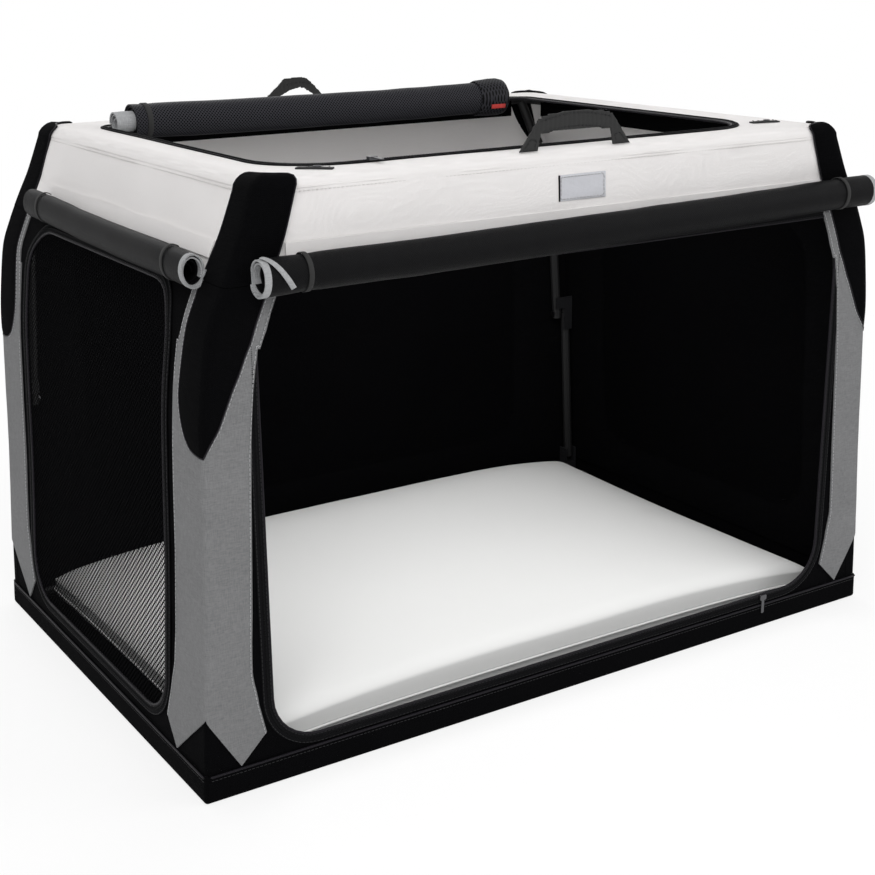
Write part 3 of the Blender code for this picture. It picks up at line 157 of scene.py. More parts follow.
class CrateColours(bpy.types.PropertyGroup):
    """Colours of the cloth and trimming, as linear values."""

    white_cloth: colour_property("White cloth", "The roof cover", (0.830, 0.808, 0.800))
    black_cloth: colour_property("Black cloth", "Walls, tray and corner pads", (0.0018, 0.0018, 0.0021))
    heather_light: colour_property("Heather light", "Pale yarn of the sleeves", (0.222, 0.223, 0.226))
    heather_dark: colour_property("Heather dark", "Dark yarn of the sleeves", (0.112, 0.113, 0.116))
    roll_cloth: colour_property("Roll cloth", "The rolled door covers", (0.0036, 0.0036, 0.0041))
    tape: colour_property("Tape", "The binding at the rolls' ends", (0.330, 0.335, 0.342))
    fleece: colour_property("Fleece", "The floor mat", (0.850, 0.852, 0.854))
    webbing: colour_property("Webbing", "Handles, loops and straps", (0.0028, 0.0028, 0.0033))
    label: colour_property("Label", "The blank patch", (0.540, 0.545, 0.580))
    tube: colour_property("Tube", "The coated frame tubes", (0.010, 0.010, 0.0105))


def sizes():
    return bpy.context.scene.crate_sizes


def colours():
    return bpy.context.scene.crate_colours


# Node trees

MIX_FACTOR, MIX_FIRST, MIX_SECOND, MIX_RESULT = 0, 6, 7, 2
FLOAT, VECTOR, COLOUR = "NodeSocketFloat", "NodeSocketVector", "NodeSocketColor"
STUFF, GEOMETRY = "NodeSocketMaterial", "NodeSocketGeometry"


def put(tree, value, socket):
    """Gives an input a plain value, or links another node's output to it."""
    if isinstance(value, bpy.types.NodeSocket):
        tree.links.new(value, socket)
    else:
        socket.default_value = value


def node(tree, kind, values=None, **settings):
    """A new node: its settings, and a number, a colour or another node's output for each input."""
    made = tree.nodes.new(kind)
    for key, value in settings.items():
        setattr(made, key, value)
    for key, value in (values or {}).items():
        put(tree, value, made.inputs[key])
    return made


def result(tree, kind, values=None, **settings):
    """The first output of a new node."""
    return node(tree, kind, values, **settings).outputs[0]


def maths(tree, operation, *values):
    return result(tree, "ShaderNodeMath", dict(enumerate(values)), operation=operation)


def times(tree, first, second):
    return maths(tree, "MULTIPLY", first, second)


def times_plus(tree, first, second, third):
    return maths(tree, "MULTIPLY_ADD", first, second, third)


def mix_colours(tree, factor, first, second):
    """A mix of two colours; the Mix node's colour sockets have no names of their own."""
    values = {MIX_FACTOR: factor, MIX_FIRST: first, MIX_SECOND: second}
    return node(tree, "ShaderNodeMix", values, data_type="RGBA").outputs[MIX_RESULT]


def vector_maths(tree, operation, first, second=None, scale=None):
    values = {0: first}
    if second is not None:
        values[1] = second
    if scale is not None:
        values["Scale"] = scale
    return result(tree, "ShaderNodeVectorMath", values, operation=operation)


def spread(tree, value, low, high, to_low=0.0, to_high=1.0):
    """A value carried from one range to another and held within it."""
    values = {"Value": value, "From Min": low, "From Max": high, "To Min": to_low, "To Max": to_high}
    return result(tree, "ShaderNodeMapRange", values)


def noise_of(tree, place, scale, detail=2.0, **more):
    values = {"Vector": place, "Scale": scale, "Detail": detail, **more}
    return node(tree, "ShaderNodeTexNoise", values).outputs["Fac"]


def new_tree(kind, name, given, results):
    """An empty node tree with named sockets: the tree, its inputs' outputs and its end node."""
    tree = bpy.data.node_groups.new(name, kind)
    for label, sort, default in given:
        socket = tree.interface.new_socket(label, in_out="INPUT", socket_type=sort)
        if default is not None:
            socket.default_value = default
    for label, sort in results:
        tree.interface.new_socket(label, in_out="OUTPUT", socket_type=sort)
    source = tree.nodes.new("NodeGroupInput")
    end = tree.nodes.new("NodeGroupOutput")
    return tree, source.outputs, end


def new_group(name, given, results):
    return new_tree("ShaderNodeTree", name, given, results)


def close_group(tree, end, **results):
    for key, value in results.items():
        tree.links.new(value, end.inputs[key])
    return tree


def weave_group():
    """Crossed threads on any upright or level face: their height."""
    tree, given, end = new_group(
        "weave",
        (("Vector", VECTOR, None), ("Threads", FLOAT, 900.0)),
        (("Height", FLOAT),),
    )
    turns = times(tree, given["Threads"], math.pi)
    scaled = vector_maths(tree, "SCALE", given["Vector"], scale=turns)
    waves = node(tree, "ShaderNodeSeparateXYZ", {0: vector_maths(tree, "SINE", scaled)}).outputs
    height = times(tree, waves[0], waves[1])
    height = times_plus(tree, waves[1], waves[2], height)
    return close_group(tree, end, Height=times_plus(tree, waves[2], waves[0], height))


def yarn_group():
    """Uneven yarn: short streaks level and upright that mix a dark and a light colour."""
    tree, given, end = new_group(
        "yarn",
        (
            ("Vector", VECTOR, None), ("Streaks", FLOAT, 700.0),
            ("Contrast", FLOAT, 1.0), ("Dark", COLOUR, (0.1, 0.1, 0.1, 1.0)),
            ("Light", COLOUR, (0.3, 0.3, 0.3, 1.0)),
        ),
        (("Color", COLOUR), ("Mask", FLOAT)),
    )
    masks = []
    for stretch in ((0.16, 0.16, 1.0), (1.0, 1.0, 0.12)):
        stretched = vector_maths(tree, "MULTIPLY", given["Vector"], stretch)
        masks.append(noise_of(tree, stretched, given["Streaks"]))
    broad = noise_of(tree, given["Vector"], 14.0, 3.0)
    mixed = times_plus(tree, maths(tree, "ADD", masks[0], masks[1]), 0.5, -0.5)
    mixed = times_plus(tree, mixed, given["Contrast"], 0.5)
    patch = times_plus(tree, broad, 0.24, -0.12)
    mask = result(tree, "ShaderNodeClamp", {"Value": maths(tree, "ADD", mixed, patch)})
    return close_group(tree, end, Color=mix_colours(tree, mask, given["Dark"], given["Light"]), Mask=mask)


def crease_group():
    """Broad soft creases of stretched cloth, mostly level."""
    tree, given, end = new_group(
        "creases",
        (("Vector", VECTOR, None), ("Size", FLOAT, 9.0)),
        (("Height", FLOAT),),
    )
    drawn = vector_maths(tree, "MULTIPLY", given["Vector"], (1.0, 1.0, 2.4))
    broad = noise_of(tree, drawn, given["Size"], 3.0, Roughness=0.45, Distortion=0.6)
    fold = maths(tree, "ABSOLUTE", maths(tree, "SUBTRACT", broad, 0.5))
    return close_group(tree, end, Height=times_plus(tree, fold, -1.6, broad))


def knit_group():
    """Rows of small round holes in a knitted mesh, on a flat pattern in metres."""
    tree, given, end = new_group(
        "knit",
        (("Vector", VECTOR, None), ("Pitch", FLOAT, 0.003)),
        (("Hole", FLOAT), ("Height", FLOAT)),
    )
    slant = {"Vector": given["Vector"], "Angle": math.pi / 4}
    turned = result(tree, "ShaderNodeVectorRotate", slant, rotation_type="Z_AXIS")
    scaled = vector_maths(tree, "SCALE", turned, scale=maths(tree, "DIVIDE", math.pi, given["Pitch"]))
    waves = node(tree, "ShaderNodeSeparateXYZ", {0: vector_maths(tree, "SINE", scaled)}).outputs
    woven_over = maths(tree, "ABSOLUTE", times(tree, waves[0], waves[1]))
    hole = spread(tree, woven_over, 0.38, 0.62)
    return close_group(tree, end, Hole=hole, Height=maths(tree, "SUBTRACT", 1.0, hole))


def rib_group():
    """Ribs of woven tape along its length, with a slight twill, on a flat pattern in metres."""
    tree, given, end = new_group(
        "ribs",
        (("Vector", VECTOR, None), ("Pitch", FLOAT, 0.0018)),
        (("Height", FLOAT),),
    )
    turns = maths(tree, "DIVIDE", math.pi, given["Pitch"])
    scaled = vector_maths(tree, "SCALE", given["Vector"], scale=turns)
    parts = node(tree, "ShaderNodeSeparateXYZ", {0: scaled}).outputs
    twill = maths(tree, "SINE", times_plus(tree, parts[0], 0.35, parts[1]))
    cross = maths(tree, "SINE", times_plus(tree, parts[2], 1.0, parts[0]))
    return close_group(tree, end, Height=times_plus(tree, twill, cross, 0.5))


GROUPS = {
    "weave": weave_group, "yarn": yarn_group, "creases": crease_group, "knit": knit_group,
    "ribs": rib_group,
}


def group(tree, name, values):
    """One of the shared groups, placed in a material with its own values."""
    shared = bpy.data.node_groups.get(name) or GROUPS[name]()
    return node(tree, "ShaderNodeGroup", values, node_tree=shared).outputs


# Materials


def start_material(name, roughness, specular=0.3, sheen=0.0):
    """A material's tree and its Principled shader, with its plain values set."""
    made = bpy.data.materials.new(name)
    made.use_nodes = True
    shader = made.node_tree.nodes["Principled BSDF"]
    shader.inputs["Roughness"].default_value = roughness
    shader.inputs["Specular IOR Level"].default_value = specular
    if sheen:
        shader.inputs["Sheen Weight"].default_value = sheen
        shader.inputs["Sheen Roughness"].default_value = 0.5
    return made, made.node_tree, shader


def object_place(tree):
    return node(tree, "ShaderNodeTexCoord").outputs["Object"]


def cloth_place(tree):
    return node(tree, "ShaderNodeUVMap", uv_map="cloth").outputs["UV"]


def bump(tree, height, distance, strength=1.0, under=None):
    values = {"Height": height, "Distance": distance, "Strength": strength}
    if under:
        values["Normal"] = under
    return node(tree, "ShaderNodeBump", values).outputs["Normal"]


def opaque(colour, factor=1.0):
    return tuple(min(value * factor, 1.0) for value in colour) + (1.0,)


def shade(value):
    """A full colour: a plain one as it is, or a colour setting times a factor."""
    return opaque(getattr(colours(), value[0]), value[1]) if isinstance(value[0], str) else opaque(value)


def paint(tree, shader, colour, normal):
    """Feeds a shader its colour and its fine relief."""
    tree.links.new(colour, shader.inputs["Base Color"])
    tree.links.new(normal, shader.inputs["Normal"])


def yarn_of(tree, place, streaks, contrast, dark, light):
    values = {"Vector": place, "Streaks": streaks, "Contrast": contrast, "Dark": dark, "Light": light}
    return group(tree, "yarn", values)["Color"]


def woven(name, dark, light, threads, contrast, roughness, crease=0.0, specular=0.3):
    """A plain weave in two shades of yarn, with soft creases."""
    made, tree, shader = start_material(name, roughness, specular)
    place = object_place(tree)
    yarn = yarn_of(tree, place, threads * 0.8, contrast, shade(dark), shade(light))
    normal = None
    if crease:
        creases = group(tree, "creases", {"Vector": place, "Size": 9.0})
        normal = bump(tree, creases["Height"], crease, 0.8)
    threads_out = group(tree, "weave", {"Vector": place, "Threads": threads})
    paint(tree, shader, yarn, bump(tree, threads_out["Height"], 0.00025, 0.6, normal))
    return made


# Each weave's dark and light yarn, threads to the metre, contrast, roughness, creases and gloss
WEAVES = {
    "white_cloth": (("white_cloth", 0.97), ("white_cloth", 1.02), 2600.0, 0.5, 0.82, 0.0008),
    "black_cloth": (("black_cloth", 0.7), ("black_cloth", 1.6), 850.0, 1.2, 0.9, 0.003, 0.02),
    "heather_cloth": (("heather_dark", 1.0), ("heather_light", 1.0), 1150.0, 1.7, 0.9, 0.0015),
    "tape_cloth": (("tape", 0.72), ("tape", 1.25), 800.0, 1.6, 0.85),
    "label_cloth": (("label", 0.9), ("label", 1.1), 1400.0, 1.2, 0.55, 0.0, 0.45),
    "net_cord": (("black_cloth", 0.8), ("black_cloth", 1.6), 1800.0, 1.2, 0.9, 0.0, 0.01),
    "pale_thread": ((0.336, 0.336, 0.344), (0.525, 0.525, 0.5375), 2500.0, 1.0, 0.6),
    "dark_thread": ((0.0096, 0.0096, 0.0104), (0.015, 0.015, 0.01625), 2500.0, 1.0, 0.6),
    "white_thread": ((0.56, 0.544, 0.536), (0.875, 0.85, 0.8375), 2500.0, 1.0, 0.6),
    "zip_tape": ((0.004, 0.004, 0.0045), (0.009, 0.009, 0.010), 1200.0, 1.6, 0.8, 0.0, 0.03),
    "piping": ((0.004, 0.0035, 0.005), (0.008, 0.006, 0.010), 1500.0, 1.0, 0.4, 0.0, 0.15),
    "red_cord": ((0.30, 0.02, 0.02), (0.55, 0.05, 0.04), 1500.0, 1.0, 0.6),
}


def roll_cloth():
    """Rolled cover: a fine dark mesh backed with cloth, its holes darkened as painted shade, with a soft
    bloom of lint.
    """
    tint = colours().roll_cloth
    made, tree, shader = start_material("roll_cloth", 0.5, 0.07)
    place = cloth_place(tree)
    lint = noise_of(tree, place, 420.0, 4.0, Roughness=0.7)
    specks = spread(tree, lint, 0.56, 0.74)
    knit = group(tree, "knit", {"Vector": place, "Pitch": 0.0022})
    yarn = yarn_of(tree, place, 500.0, 1.4, opaque(tint, 0.65), opaque(tint, 1.5))
    # The knit's holes are darkened here: painted shade.
    painted_hole_shade = times(tree, knit["Hole"], 0.55)
    mesh_with_painted_hole_shade = mix_colours(tree, painted_hole_shade, yarn, opaque(tint, 0.25))
    dusted = mix_colours(tree, times(tree, specks, 0.4), mesh_with_painted_hole_shade, opaque(tint, 4.0))
    soft = bump(tree, lint, 0.0012, 0.5)
    paint(tree, shader, dusted, bump(tree, knit["Height"], 0.0004, 0.6, soft))
    return made


def knitted(name, place_of, specular, pitch, strand, hole, depth):
    """Black knitted mesh: its strands lightened as a painted highlight, its holes darkened as painted shade,
    and how deep its relief.
    """
    tint = colours().black_cloth
    made, tree, shader = start_material(name, 0.5, specular)
    knit = group(tree, "knit", {"Vector": place_of(tree), "Pitch": pitch})
    # The strands' lighter colour is a painted highlight; the holes' darker colour is painted shade.
    strands_with_painted_light = mix_colours(tree, knit["Hole"], opaque(tint, strand), opaque(tint, hole))
    paint(tree, shader, strands_with_painted_light, bump(tree, knit["Height"], depth, 0.9))
    return made


def fleece():
    """Short soft pile: fine tufts and broad brushed patches."""
    tint = colours().fleece
    made, tree, shader = start_material("fleece", 0.95, 0.15, 0.3)
    place = object_place(tree)
    tufts = noise_of(tree, place, 900.0, 4.0, Roughness=0.7)
    brushed = noise_of(tree, place, 7.0, 4.0, Distortion=1.2)
    mixed = times_plus(tree, tufts, 0.35, times(tree, brushed, 0.65))
    pile = mix_colours(tree, mixed, opaque(tint, 0.88), opaque(tint, 1.1))
    paint(tree, shader, pile, bump(tree, tufts, 0.0006, 0.7, bump(tree, brushed, 0.003, 0.5)))
    return made


def webbing():
    """Black woven tape with ribs across its length."""
    tint = colours().webbing
    made, tree, shader = start_material("webbing", 0.7, 0.02)
    ribs = group(tree, "ribs", {"Vector": object_place(tree), "Pitch": 0.0016})
    ribbed = mix_colours(tree, ribs["Height"], opaque(tint, 0.5), opaque(tint, 1.8))
    paint(tree, shader, ribbed, bump(tree, ribs["Height"], 0.0005, 0.8))
    return made


def moulded(name, tint, roughness, specular=0.5, metallic=0.0, grain=900.0, depth=0.0002):
    """A hard finish with a fine grain and slightly uneven gloss."""
    made, tree, shader = start_material(name, roughness, specular)
    shader.inputs["Metallic"].default_value = metallic
    place = object_place(tree)
    fine, broad = noise_of(tree, place, grain, 3.0), noise_of(tree, place, 22.0, 4.0)
    mixed = times_plus(tree, fine, 0.4, times(tree, broad, 0.6))
    gloss = spread(tree, broad, 0.0, 1.0, roughness * 0.8, min(roughness * 1.3, 1.0))
    tree.links.new(gloss, shader.inputs["Roughness"])
    tint = shade(tint)[:3]
    colour = mix_colours(tree, mixed, opaque(tint, 0.8), opaque(tint, 1.25))
    paint(tree, shader, colour, bump(tree, fine, depth, 0.5))
    return made


# Each hard finish's colour, roughness, gloss, metal, grain and depth of grain
HARD = {
    "tube_paint": (("tube", 1.0), 0.45, 0.25),
    "zip_metal": ((0.10, 0.10, 0.105), 0.34, 0.5, 1.0, 500.0, 0.0001),
    "zip_coil": ((0.004, 0.004, 0.0045), 0.42, 0.06),
    "hinge_plastic": ((0.008, 0.008, 0.009), 0.5, 0.25),
}
# Each mesh's place, gloss, pitch, the painted highlight of its strands and the painted shade of its holes,
# and depth
KNITS = {
    "roof_mesh": (cloth_place, 0.05, 0.0034, 20.0, 0.2, 0.0007),
    "wrap_net": (object_place, 0.08, 0.0042, 14.0, 0.3, 0.0009),
}
LONE_FINISHES = {"roll_cloth": roll_cloth, "fleece": fleece, "webbing": webbing}


def finish(name):
    """The shared material of a finish, made the first time that it is asked for."""
    if name in bpy.data.materials:
        return bpy.data.materials[name]
    for table, maker in ((WEAVES, woven), (HARD, moulded), (KNITS, knitted)):
        if name in table:
            return maker(name, *table[name])
    return LONE_FINISHES[name]()


# The envelope


def half_length(z):
    """Half the crate's length at a height, as one smooth curve through the lean's shares."""
    share = min(max(z / ROOF, 0.0), 1.0)
    last = len(LEAN_SHARES) - 1
    first = max(i for i in range(last) if LEAN_SHARES[i][0] <= share)
    (z0, in0), (z1, in1) = LEAN_SHARES[first], LEAN_SHARES[first + 1]

    def slope(i):
        before, after = LEAN_SHARES[max(i - 1, 0)], LEAN_SHARES[min(i + 1, last)]
        return (after[1] - before[1]) / (after[0] - before[0])

    span = z1 - z0
    t = (share - z0) / span
    inset = (
        (2 * t ** 3 - 3 * t ** 2 + 1) * in0 + (t ** 3 - 2 * t ** 2 + t) * span * slope(first)
        + (3 * t ** 2 - 2 * t ** 3) * in1 + (t ** 3 - t ** 2) * span * slope(first + 1)
    )
    return FLOOR_HALF_LENGTH - ROOF_END_INSET * inset


def half_width(z):
    share = min(max((z - SKIRT) / (ROOF - SKIRT), 0.0), 1.0)
    return FLOOR_HALF_WIDTH - ROOF_SIDE_INSET * share


def on_wall(face, along, up, depth):
    """A point of the front, back, left or right wall."""
    if face in ("front", "back"):
        side = -1 if face == "front" else 1
        return Vector((along, side * (half_width(up) - depth), up))
    end = -1 if face == "left" else 1
    return Vector((end * (half_length(up) - depth), along, up))


def off_wall(face, up):
    """The outward direction of a wall at a height."""
    step = 0.002
    run = on_wall(face, 0.0, up + step, 0.0) - on_wall(face, 0.0, up - step, 0.0)
    level = Vector((1.0, 0.0, 0.0)) if face in ("front", "back") else Vector((0.0, 1.0, 0.0))
    out = run.cross(level).normalized()
    return out if out.dot(on_wall(face, 0.0, up, 0.0) * Vector((1, 1, 0))) > 0 else -out


# Outlines and lattices


def rounded_rectangle(x0, y0, x1, y1, radii, steps=8):
    """Corners in the order bottom left, bottom right, top right, top left."""
    points = []
    corners = ((x0, y0, 1, 1), (x1, y0, -1, 1), (x1, y1, -1, -1), (x0, y1, 1, -1))
    for quarter, ((x, y, sx, sy), radius) in enumerate(zip(corners, radii)):
        for step in range(steps + 1):
            angle = math.pi + (quarter + step / steps) * math.pi / 2
            points.append((x + radius * (sx + math.cos(angle)), y + radius * (sy + math.sin(angle))))
    return points


def even_steps(low, high, cell, origin=0.0):
    """Cut places counted from an origin, with the two ends and no sliver beside them."""
    first = math.ceil((low - origin) / cell + 0.3)
    last = math.floor((high - origin) / cell - 0.3)
    return [low] + [origin + cell * i for i in range(first, last + 1)] + [high]


def lattice(across, up):
    """A flat sheet of quads in the XY plane with its lines at the given places."""
    bm = bmesh.new()
    rows = [[bm.verts.new((x, y, 0.0)) for x in across] for y in up]
    for lower, upper in zip(rows, rows[1:]):
        for i in range(len(across) - 1):
            bm.faces.new((lower[i], lower[i + 1], upper[i + 1], upper[i]))
    return bm


def cut_lattice(outline, cell, more_across=()):
    """A lattice over an outline, with some more lines across if asked for, cut along it."""
    xs, ys = zip(*outline)
    across = even_steps(min(xs), max(xs), cell)
    if more_across:
        across = sorted({round(x, 5) for x in across + list(more_across)})
    return trim(lattice(across, even_steps(min(ys), max(ys), cell)), outline)


def cut_across(bm, axis, place):
    """Cuts every face on the plane that is square to an axis at a place."""
    normal = Vector([1.0 if i == axis else 0.0 for i in range(3)])
    geometry = bm.verts[:] + bm.edges[:] + bm.faces[:]
    bmesh.ops.bisect_plane(bm, geom=geometry, dist=SNAP, plane_co=normal * place, plane_no=normal)


def contains(outline, x, y):
    inside = False
    for (ax, ay), (bx, by) in zip(outline, outline[1:] + outline[:1]):
        if (ay > y) != (by > y) and x < ax + (bx - ax) * (y - ay) / (by - ay):
            inside = not inside
    return inside


def trim(bm, outline, inside=True, where=None):
    """Cuts flat faces along an outline in X and Y, and drops those on its other side."""
    for (ax, ay), (bx, by) in zip(outline, outline[1:] + outline[:1]):
        if abs(ax - bx) + abs(ay - by) < SNAP:
            continue
        low_x, high_x = min(ax, bx) - SNAP, max(ax, bx) + SNAP
        low_y, high_y = min(ay, by) - SNAP, max(ay, by) + SNAP
        near = []
        for face in bm.faces:
            if where and not where(face):
                continue
            xs = [vert.co.x for vert in face.verts]
            ys = [vert.co.y for vert in face.verts]
            if min(xs) < high_x and max(xs) > low_x and min(ys) < high_y and max(ys) > low_y:
                near.append(face)
        edges = {edge for face in near for edge in face.edges}
        verts = {vert for face in near for vert in face.verts}
        bmesh.ops.bisect_plane(
            bm, geom=near + list(edges) + list(verts), dist=SNAP,
            plane_co=(ax, ay, 0.0), plane_no=(by - ay, ax - bx, 0.0),
        )
    drop = []
    for face in bm.faces:
        if where and not where(face):
            continue
        middle = face.calc_center_median()
        if contains(outline, middle.x, middle.y) != inside:
            drop.append(face)
    bmesh.ops.delete(bm, geom=drop, context="FACES")
    return bm


def carry(bm, place):
    """Moves every point of a flat lattice to where place says."""
    for vert in bm.verts:
        vert.co = place(vert.co.x, vert.co.y)
    return bm


def ripple(point, size, height, seed=0.0):
    """A smooth random height at a point, with bumps of a given size."""
    return height * noise.noise(Vector(point) / size + Vector((seed, 2.7 * seed, -seed)))


# Pieces

ROUNDED_FROM = math.radians(60)
SHARP_FROM = math.radians(55)


def orient(bm, centre):
    """Turns a mesh's faces outwards: by volume if it is closed, else away from a centre."""
    bmesh.ops.recalc_face_normals(bm, faces=bm.faces)
    if all(edge.is_manifold for edge in bm.edges):
        wrong = bm.calc_volume(signed=True) < 0
    else:
        middle = Vector(centre)
        facing = sum(
            face.normal.dot(face.calc_center_median() - middle) * face.calc_area() for face in bm.faces
        )
        wrong = facing < 0
    if wrong:
        bmesh.ops.reverse_faces(bm, faces=bm.faces)


def add_object(name, data):
    """An object of some data, in the scene."""
    made = bpy.data.objects.new(name, data)
    bpy.context.scene.collection.objects.link(made)
    return made


def evaluated_mesh(made):
    """The mesh that an object's modifiers make."""
    bpy.context.view_layer.update()
    evaluated = made.evaluated_get(bpy.context.evaluated_depsgraph_get())
    return bpy.data.meshes.new_from_object(evaluated)


def piece(name, bm, material, centre=(0.0, 0.0, 0.3), smooth=True):
    """A finished mesh as an object at the origin."""
    orient(bm, centre)
    mesh = bpy.data.meshes.new(name)
    bm.to_mesh(mesh)
    bm.free()
    if smooth:
        mesh.shade_smooth()
    mesh.materials.append(finish(material))
    return add_object(name, mesh)


def apply_modifiers(made):
    mesh = evaluated_mesh(made)
    made.modifiers.clear()
    made.data = mesh


def thicken(made, thickness, offset=-1.0, edge=0.0):
    """Gives a sheet its thickness, inwards, with a small round along its cut edges."""
    wall = made.modifiers.new("thickness", "SOLIDIFY")
    wall.thickness = thickness
    wall.offset = offset
    wall.use_even_offset = True
    if edge:
        rounding = made.modifiers.new("edge", "BEVEL")
        rounding.width = edge
        rounding.segments = 2
        rounding.limit_method = "ANGLE"
        rounding.angle_limit = ROUNDED_FROM
    apply_modifiers(made)
    made.data.shade_smooth()
    made.data.set_sharp_from_angle(angle=SHARP_FROM)
    return made


def cloth_piece(name, bm, material, thickness, centre=(0.0, 0.0, 0.3)):
    return thicken(piece(name, bm, material, centre), thickness)


def settle(made, body, slot, *nodes, folds=False):
    """Hangs a piece on its body and hides the nodes that it stands for. The slot, its finish's name, is not
    used.
    """
    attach(made, body)
    if nodes:
        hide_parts(*nodes)
    if folds:
        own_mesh(made)
    return made


def round_section(radius, sides=8):
    angles = [2 * math.pi * i / sides for i in range(sides)]
    return [(radius * math.cos(angle), radius * math.sin(angle)) for angle in angles]


def tape_section(width, height, lift=0.0):
    """A flat tape with soft edges: across from -width/2 to width/2, lying on lift."""
    half, soft = width / 2, height * 0.45
    return [
        (-half, lift), (half, lift), (half, lift + height - soft), (half - soft, lift + height),
        (soft - half, lift + height), (-half, lift + height - soft),
    ]


def join_rings(bm, rings):
    """Faces between each ring of points and the next."""
    for here, there in zip(rings, rings[1:]):
        for i in range(len(here)):
            j = (i + 1) % len(here)
            bm.faces.new((here[i], here[j], there[j], there[i]))


def sweep(bm, path, section, out, closed=False):
    """Runs a closed section along a path. out is the outward direction, for all or each point."""
    rings = []
    count = len(path)
    for i, point in enumerate(path):
        before = path[i - 1] if closed or i else point
        after = path[(i + 1) % count] if closed or i + 1 < count else point
        way = (after - before).normalized()
        up = out[i] if isinstance(out, list) else out
        across = way.cross(up).normalized()
        normal = across.cross(way)
        rings.append([bm.verts.new(point + across * a + normal * o) for a, o in section])
    join_rings(bm, rings + rings[:1] if closed else rings)
    if not closed:
        bm.faces.new(rings[0])
        bm.faces.new(rings[-1])
    return bm


def swept(name, path, outs, section, material, closed=False):
    """A piece of one section run along one path."""
    return piece(name, sweep(bmesh.new(), path, section, outs, closed), material)


def evenly(points, step, closed=False):
    """The same polyline with a point about every step."""
    if closed:
        points = points + points[:1]
    lengths = [0.0]
    for a, b in zip(points, points[1:]):
        lengths.append(lengths[-1] + (Vector(b) - Vector(a)).length)
    count = max(2, round(lengths[-1] / step))
    made, segment = [], 0
    for i in range(count if closed else count + 1):
        target = lengths[-1] * i / count
        while segment < len(points) - 2 and lengths[segment + 1] < target:
            segment += 1
        span = lengths[segment + 1] - lengths[segment]
        t = 0.0 if span == 0 else (target - lengths[segment]) / span
        made.append(Vector(points[segment]).lerp(Vector(points[segment + 1]), t))
    return made


def level_path(outline, z, step=0.010):
    """A closed level path along an outline."""
    return [Vector((point.x, point.y, z)) for point in evenly([(x, y, 0.0) for x, y in outline], step, True)]


def wall_path(face, outline, depth, step=0.012, closed=True):
    """A path on a wall with the outward direction at each of its points."""
    flat = evenly([(x, y, 0.0) for x, y in outline], step, closed)
    path = [on_wall(face, point.x, point.y, depth) for point in flat]
    return path, [off_wall(face, point.y) for point in flat]


# Repeated details, made with Geometry Nodes


def geometry_tree(name, given):
    whole = (("Geometry", GEOMETRY, None), *given)
    return new_tree("GeometryNodeTree", name, whole, (("Geometry", GEOMETRY),))


def close_tree(tree, given, end, geometry):
    """Every tree ends in real geometry with its material set."""
    real = result(tree, "GeometryNodeRealizeInstances", {"Geometry": geometry})
    coated = result(tree, "GeometryNodeSetMaterial", {"Geometry": real, "Material": given["Material"]})
    tree.links.new(coated, end.inputs[0])


def along_path_tree(name, shape):
    """Copies of one small shape set out evenly along a curve, turned to follow it."""
    tree, given, end = geometry_tree(
        name,
        (
            ("Pitch", FLOAT, 0.005), ("Length", FLOAT, 0.0035),
            ("Width", FLOAT, 0.0008), ("Material", STUFF, None),
        ),
    )
    spacing = {"Curve": given["Geometry"], "Length": given["Pitch"]}
    points = result(tree, "GeometryNodeResampleCurve", spacing, mode="LENGTH")
    if shape == "stitch":
        rod = {"Vertices": 6, "Radius": given["Width"], "Depth": given["Length"]}
        unit = result(tree, "GeometryNodeMeshCylinder", rod)
    else:
        ball = result(tree, "GeometryNodeMeshIcoSphere", {"Radius": given["Width"], "Subdivisions": 2})
        share = maths(tree, "DIVIDE", given["Length"], given["Width"])
        squeeze = result(tree, "ShaderNodeCombineXYZ", {"X": 1.0, "Y": 1.0, "Z": share})
        unit = result(tree, "GeometryNodeTransform", {"Geometry": ball, "Scale": squeeze})
    tangent = result(tree, "GeometryNodeInputTangent")
    turn = result(tree, "FunctionNodeAlignRotationToVector", {"Vector": tangent}, axis="Z")
    copies = {"Points": points, "Instance": unit, "Rotation": turn}
    close_tree(tree, given, end, result(tree, "GeometryNodeInstanceOnPoints", copies))
    return tree


